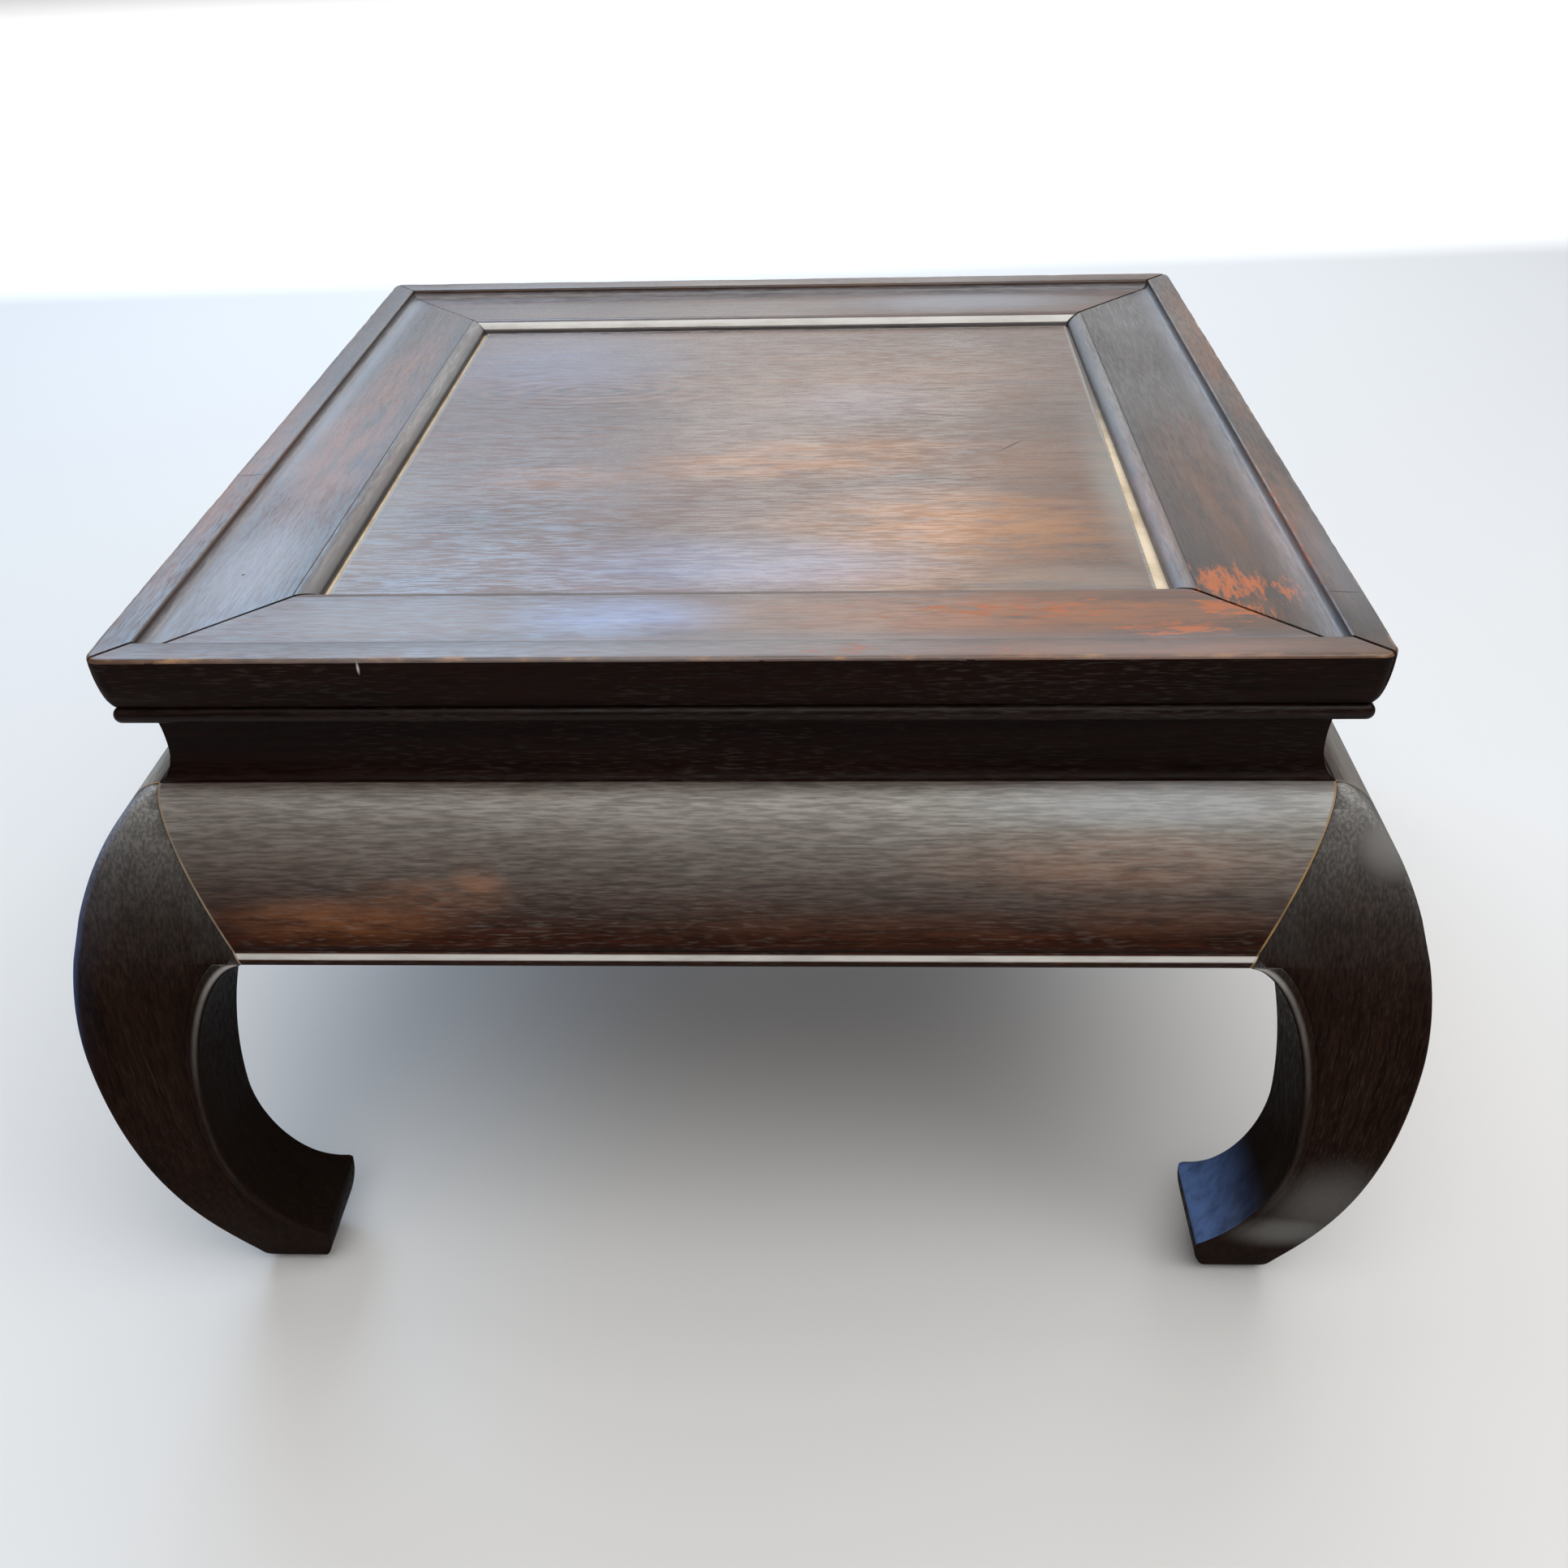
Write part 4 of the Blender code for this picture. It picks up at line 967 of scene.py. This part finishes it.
PANEL_FILMED = (
    ((0.176, -0.060, 0.3395), (0.022, 0.150, 0.02), 0.55, 0.0),
    ((0.140, -0.168, 0.3395), (0.070, 0.024, 0.02), 0.40, 0.0),
    ((0.150, 0.165, 0.3395), (0.080, 0.050, 0.02), 0.08, 0.0),
    ((-0.175, -0.100, 0.3395), (0.030, 0.110, 0.02), 0.30, 0.0),
    ((-0.100, 0.178, 0.3395), (0.150, 0.020, 0.02), 0.25, 0.0),
)
# Painted reflection: bluish patches of the cool light's sheen on the panel.
PANEL_REFLECTED_SPOTS = (
    ((-0.010, -0.150, 0.3395), (0.120, 0.040, 0.02), 0.60, 0.0),
    ((-0.120, 0.120, 0.3395), (0.100, 0.080, 0.02), 0.35, 0.0),
    ((0.050, 0.050, 0.3395), (0.060, 0.040, 0.02), 0.20, 0.0),
)
PANEL_FILM = (0.300, 0.300, 0.275)
PANEL_GOLD = (0.285, 0.105, 0.014)
PANEL_EYE = ((-0.100, 0.072, 0.3395), (0.100, 0.050, 0.02))
panel_wood = stained_wood("panel wood", deep=(0.022, 0.0095, 0.0065), warm=(0.155, 0.0720, 0.0380),
                          eye=PANEL_EYE, dust_and_sheen_share=0.45, rubbed=PANEL_RUBBED, rubbed_colour=PANEL_GOLD,
                          cracks=PANEL_CRACKS, haze_and_sheen_spots=PANEL_FILMED, film_and_sheen_colour=PANEL_FILM,
                          reflected_spots=PANEL_REFLECTED_SPOTS, gloss=(0.26, 0.42))
panel_shape, tongue_top = panel_mesh()
co = positions(panel_shape)
mark(panel_shape, "plank", "FLOAT_VECTOR", co)
spread = np.abs(co[:, :2]).max(axis=1)
on_edge = (co[:, 2] > tongue_top + 0.0003) & (spread > RAIL_IN_R - PANEL_SHOULDER - 0.0012)
mark(panel_shape, "worn_edge", "FLOAT", np.where(on_edge, 0.35, 0.0))
mark(panel_shape, "dust_and_sheen", "FLOAT", np.where(on_edge, 1.0, 0.0))
panel = add_piece("top_panel", panel_shape, 0, panel_wood, 41.7)
panel.data.materials.append(raw_wood())
for face in panel.data.polygons:
    face.material_index = 1 if PANEL_LOW.z + 0.001 < face.center.z <= tongue_top + 0.0001 else 0

# Frame: four mitred rails with a raised lip outside, a rounded nose inside and a curved-in edge below.
# Tenons hidden in the corners hold them; the corners are rounded, and handling has rubbed the lip bare.
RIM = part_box("rail_front")[1].z
HALF = -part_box("rail_front")[0].y
LIP_W = 0.015
LIP_H = 0.005
LIP_ROUND = 0.0015
LIP_COVE = 0.0020
NOSE_RUN = 0.0080
NOSE_QUIRK = 0.0003
NOSE_FULLNESS = 1.4
NOSE_DROP = 0.0045
EDGE_RUN_IN = 0.0057
EDGE_FLAT = 0.0030
CORNER_ROUND = 0.007
MITRE_OPEN = 0.0008
RIM_WEAR = 0.00028
RIM_WORN_W = 0.0045
RAIL_STEPS = 400


def arc(centre, radii, start, stop, steps, wear, dust_and_sheen_share=0.0, grime_and_shade=0.0):
    """Profile rows on an elliptical arc from start to stop degrees."""
    return [(centre[0] + radii[0] * math.cos(a), centre[1] + radii[1] * math.sin(a), wear, dust_and_sheen_share, 0.0, grime_and_shade)
            for a in np.radians(np.linspace(start, stop, steps + 1))]


def nose_rows(centre, start, stop, steps, dust_and_sheen_share=0.0, highlight=0.0, grime_and_shade=0.0):
    """Profile rows on the rail's nose, which is flatter than an ellipse."""
    power = 2.0 / NOSE_FULLNESS
    return [(centre[0] - NOSE_RUN * abs(math.cos(a)) ** power, centre[1] + NOSE_DROP * math.sin(a) ** power,
             0.1, dust_and_sheen_share, highlight, grime_and_shade) for a in np.radians(np.linspace(start, stop, steps + 1))]


def rail_profile():
    """Section of a rail, from the underside round the edge and the lip to the panel groove."""
    foot = HALF - EDGE_RUN_IN
    edge_h = RIM - FRAME_FOOT - LIP_ROUND
    flat = RIM - LIP_H
    lip_in = HALF - LIP_W
    groove = FIT - PANEL_LOW.x
    groove_top = PANEL_HIGH.z - PANEL_REBATE + FIT
    groove_low = groove_top - TONGUE_T - 2 * FIT
    rows = [(foot - EDGE_FLAT, FRAME_FOOT, 0.2)]
    rows += arc((foot, FRAME_FOOT + edge_h), (EDGE_RUN_IN, -edge_h), 80, 0, 20, 0.0)
    rows += arc((HALF - LIP_ROUND, RIM - LIP_ROUND), (LIP_ROUND, LIP_ROUND), 0, 90, 8, 0.75)[1:]
    rows.append((HALF - 2 * LIP_ROUND, RIM, 0.15))
    # The lip's inner arris carries a thin line of painted shade.
    rows += arc((lip_in + LIP_ROUND, RIM - LIP_ROUND), (LIP_ROUND, LIP_ROUND), 90, 180, 6, 0.2, 0.0, 0.35)
    rows += arc((lip_in - LIP_COVE, flat + LIP_COVE), (LIP_COVE, -LIP_COVE), 0, 90, 6, 0.0, 0.70)
    rows += [(lip_in - LIP_COVE - 0.008 * k, flat, 0.0, 0.17 * (k == 1)) for k in range(1, 6)]
    nose = (RAIL_IN_R + NOSE_RUN, flat - NOSE_DROP)
    # Painted shade in the nose's quirk and on its lower face; painted highlight across its middle.
    rows.append((nose[0] + 2 * NOSE_QUIRK, flat, 0.0))
    rows.append((nose[0] + NOSE_QUIRK, flat - NOSE_QUIRK, 0.0, 0.0, 0.0, 0.4))
    rows += nose_rows(nose, 90, 117, 5, 0.10, 0.0, 0.15)
    rows += nose_rows(nose, 122, 160, 7, 0.20, 1.0)
    rows += nose_rows(nose, 162, 179, 5, 0.40, 0.0, 0.7)
    rows += [(RAIL_IN_R, groove_top, 0.0, 0.42), (groove, groove_top, 0.0), (groove, groove_low, 0.0),
             (RAIL_IN_R, groove_low, 0.0), (RAIL_IN_R, FRAME_FOOT, 0.0)]
    return rows


def worn_rim(mesh, seed):
    """Soften the lip's outer arris unevenly, as knocks and handling do."""
    co = positions(mesh)
    depth = np.clip(1.0 - np.hypot(HALF + co[:, 1], RIM - co[:, 2]) / RIM_WORN_W, 0.0, 1.0)
    for k in np.nonzero(depth > 0.0)[0]:
        wave = noise.noise(Vector((co[k, 0] * 38.0, seed, 0.0)))
        wave += 0.6 * noise.noise(Vector((co[k, 0] * 150.0, seed, 5.0)))
        take = RIM_WEAR * depth[k] * max(0.0, wave + 0.15)
        co[k, 1] += take
        co[k, 2] -= take
    set_positions(mesh, co)


RAIL_RUBBED = (
    ((0.110, -0.205, 0.345), (0.150, 0.030, 0.02), 0.60, 0.0),
    ((0.236, -0.120, 0.347), (0.014, 0.130, 0.02), 0.55, 0.0),
    ((-0.205, 0.070, 0.345), (0.024, 0.120, 0.02), 0.36, 0.0),
    ((-0.208, -0.025, 0.345), (0.036, 0.130, 0.02), 0.46, 0.0),
    ((-0.243, -0.080, 0.350), (0.014, 0.200, 0.02), 0.45, 0.0),
    ((0.243, 0.100, 0.350), (0.014, 0.180, 0.02), 0.40, 0.0),
    ((0.150, -0.243, 0.350), (0.140, 0.014, 0.02), 0.50, 0.0),
    ((0.215, -0.080, 0.345), (0.030, 0.150, 0.02), 0.25, 0.0),
    ((0.182, -0.110, 0.343), (0.008, 0.150, 0.02), 0.40, 0.0),
)
RAIL_FLAKED = (
    ((0.201, -0.180, 0.345), (0.026, 0.030, 0.02), 0.75, 30.0),
    ((0.224, -0.186, 0.345), (0.014, 0.022, 0.02), 0.55, 0.0),
    ((0.198, -0.203, 0.345), (0.028, 0.016, 0.02), 0.70, -20.0),
    ((0.172, -0.219, 0.345), (0.036, 0.012, 0.02), 0.70, 0.0),
    ((0.120, -0.203, 0.345), (0.095, 0.016, 0.02), 0.48, 0.0),
    ((0.041, -0.244, 0.350), (0.036, 0.008, 0.02), 0.50, 0.0),
    ((0.100, -0.246, 0.350), (0.030, 0.006, 0.02), 0.35, 0.0),
    ((0.238, -0.150, 0.350), (0.008, 0.070, 0.02), 0.35, 0.0),
    ((0.2357, -0.140, 0.3493), (0.0024, 0.110, 0.0032), 0.65, 0.0),
)
# Painted sheen: pale patches on the rails and lip standing in for the lights' reflection, with some real
# haze on the right rail.
RAIL_HAZE_AND_SHEEN = (
    ((0.222, 0.030, 0.345), (0.024, 0.090, 0.02), 0.10, 0.0),
    ((0.214, 0.150, 0.345), (0.030, 0.080, 0.02), 0.12, 0.0),
    ((-0.212, -0.165, 0.345), (0.030, 0.080, 0.02), 0.85, 0.0),
    ((-0.050, -0.243, 0.350), (0.240, 0.014, 0.02), 0.45, 0.0),
    ((0.243, -0.170, 0.350), (0.014, 0.090, 0.02), 0.30, 0.0),
    ((0.160, -0.243, 0.350), (0.110, 0.014, 0.02), 0.25, 0.0),
    ((-0.140, -0.210, 0.345), (0.090, 0.036, 0.02), 0.60, 0.0),
    ((0.120, 0.212, 0.345), (0.110, 0.030, 0.02), 0.60, 0.0),
)
RAIL_CRACKS = (
    ((-0.2431, -0.0687, 0.350), (0.0090, 0.0004, 0.02), 0.9, 8.0),
    ((0.2418, -0.1990, 0.350), (0.0090, 0.0004, 0.02), 0.9, -6.0),
    ((-0.2149, -0.1664, 0.345), (0.0010, 0.0010, 0.02), 1.0, 0.0),
)
# Painted reflection: bluish patches of the cool light's sheen on the front and left rails.
RAIL_REFLECTED_SPOTS = (
    ((-0.048, -0.207, 0.345), (0.060, 0.024, 0.02), 0.95, 0.0),
    ((-0.213, -0.165, 0.345), (0.026, 0.080, 0.02), 0.20, 0.0),
)
# Colour of the rails' dust in hollows and of their painted sheen.
RAIL_DUST_AND_SHEEN = (0.310, 0.325, 0.360)
RAIL_CHIPPED = (((-0.1425, -0.2490, 0.3462), (0.0008, 0.0040, 0.0036), 0.80, 0.0),)
rail_wood = stained_wood("frame wood", deep=(0.017, 0.0078, 0.0053), warm=(0.130, 0.0600, 0.0330), dust_and_sheen_share=0.10,
                         rubbed=RAIL_RUBBED, flaked=RAIL_FLAKED, cracks=RAIL_CRACKS, haze_and_sheen_spots=RAIL_HAZE_AND_SHEEN,
                         film_and_sheen_colour=RAIL_DUST_AND_SHEEN, reflected_spots=RAIL_REFLECTED_SPOTS, chipped=RAIL_CHIPPED,
                         gloss=(0.26, 0.42), mottle=0.06)
rail_edge_wood = stained_wood("frame edge wood", dust_and_sheen_share=0.1, chipped=RAIL_CHIPPED, gloss=(0.38, 0.52),
                              shine=0.04)
rail_shape = board_mesh("rail", rail_profile(), lambda r, z: mitred(r, z) - MITRE_OPEN, rail_wood,
                        RAIL_STEPS)
rounded_corners(rail_shape, HALF, CORNER_ROUND)
BATTEN_LAPS = [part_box("batten_" + side) for side in ("left", "right")]
LAP_HALF_W = 0.007
# The right rail, and less the left, are darkened as a whole: partly the wood's own darker tone, partly
# painted shade.
RAIL_SHADE = {"front": 0.0, "right": 0.56, "back": 0.0, "left": 0.25}
# Painted highlight and painted shade on each rail's nose, by how its side meets the light: the back nose is
# lit brightest, the left is shaded most.
NOSE_HIGHLIGHT = {"front": 0.0, "right": 0.0, "back": 1.0, "left": 0.10}
NOSE_SHADE = {"front": 0.2, "right": 0.10, "back": 1.0, "left": 0.45}
NOSE_SHADE_ALL = {"front": 0.0, "right": 0.15, "back": 0.0, "left": 0.45}
TIGHT_END = {"back": 1, "left": -1}
for quarter, side in enumerate(SIDES):
    mesh = rail_shape.copy()
    worn_rim(mesh, quarter * 3.7)
    mark(mesh, "painted_highlight", "FLOAT", marked(mesh, "painted_highlight") * NOSE_HIGHLIGHT[side])
    dark = marked(mesh, "grime_and_shade")
    on_nose = -positions(mesh)[:, 1] < RAIL_IN_R + NOSE_RUN + 0.001
    mark(mesh, "grime_and_shade", "FLOAT", np.where(on_nose, dark * NOSE_SHADE[side] + NOSE_SHADE_ALL[side], dark))
    if side in TIGHT_END:
        co = positions(mesh)
        end = TIGHT_END[side]
        co[:, 0] += end * MITRE_OPEN * np.clip((end * co[:, 0] - 0.08) / 0.09, 0.0, 1.0)
        set_positions(mesh, co)
    if side in ("front", "back"):
        tools = []
        for low, high in BATTEN_LAPS:
            middle = (low.x + high.x) / 2
            reach = high.y + FIT
            tools.append(("DIFFERENCE", box_skin((middle - LAP_HALF_W - FIT, -reach, FRAME_FOOT - 0.010),
                                                 (middle + LAP_HALF_W + FIT, reach, PANEL_LOW.z))))
        mesh = carved(mesh, tools)
    rail = add_piece("rail_" + side, mesh, quarter, rail_wood, 52.9 + 2.9 * quarter,
                     RAIL_SHADE[side])
    rail.data.materials.append(rail_edge_wood)
    for face in rail.data.polygons:
        out = max(abs(face.center.x), abs(face.center.y))
        face.material_index = 1 if out > HALF - 0.012 and face.center.z < RIM - LIP_ROUND else 0
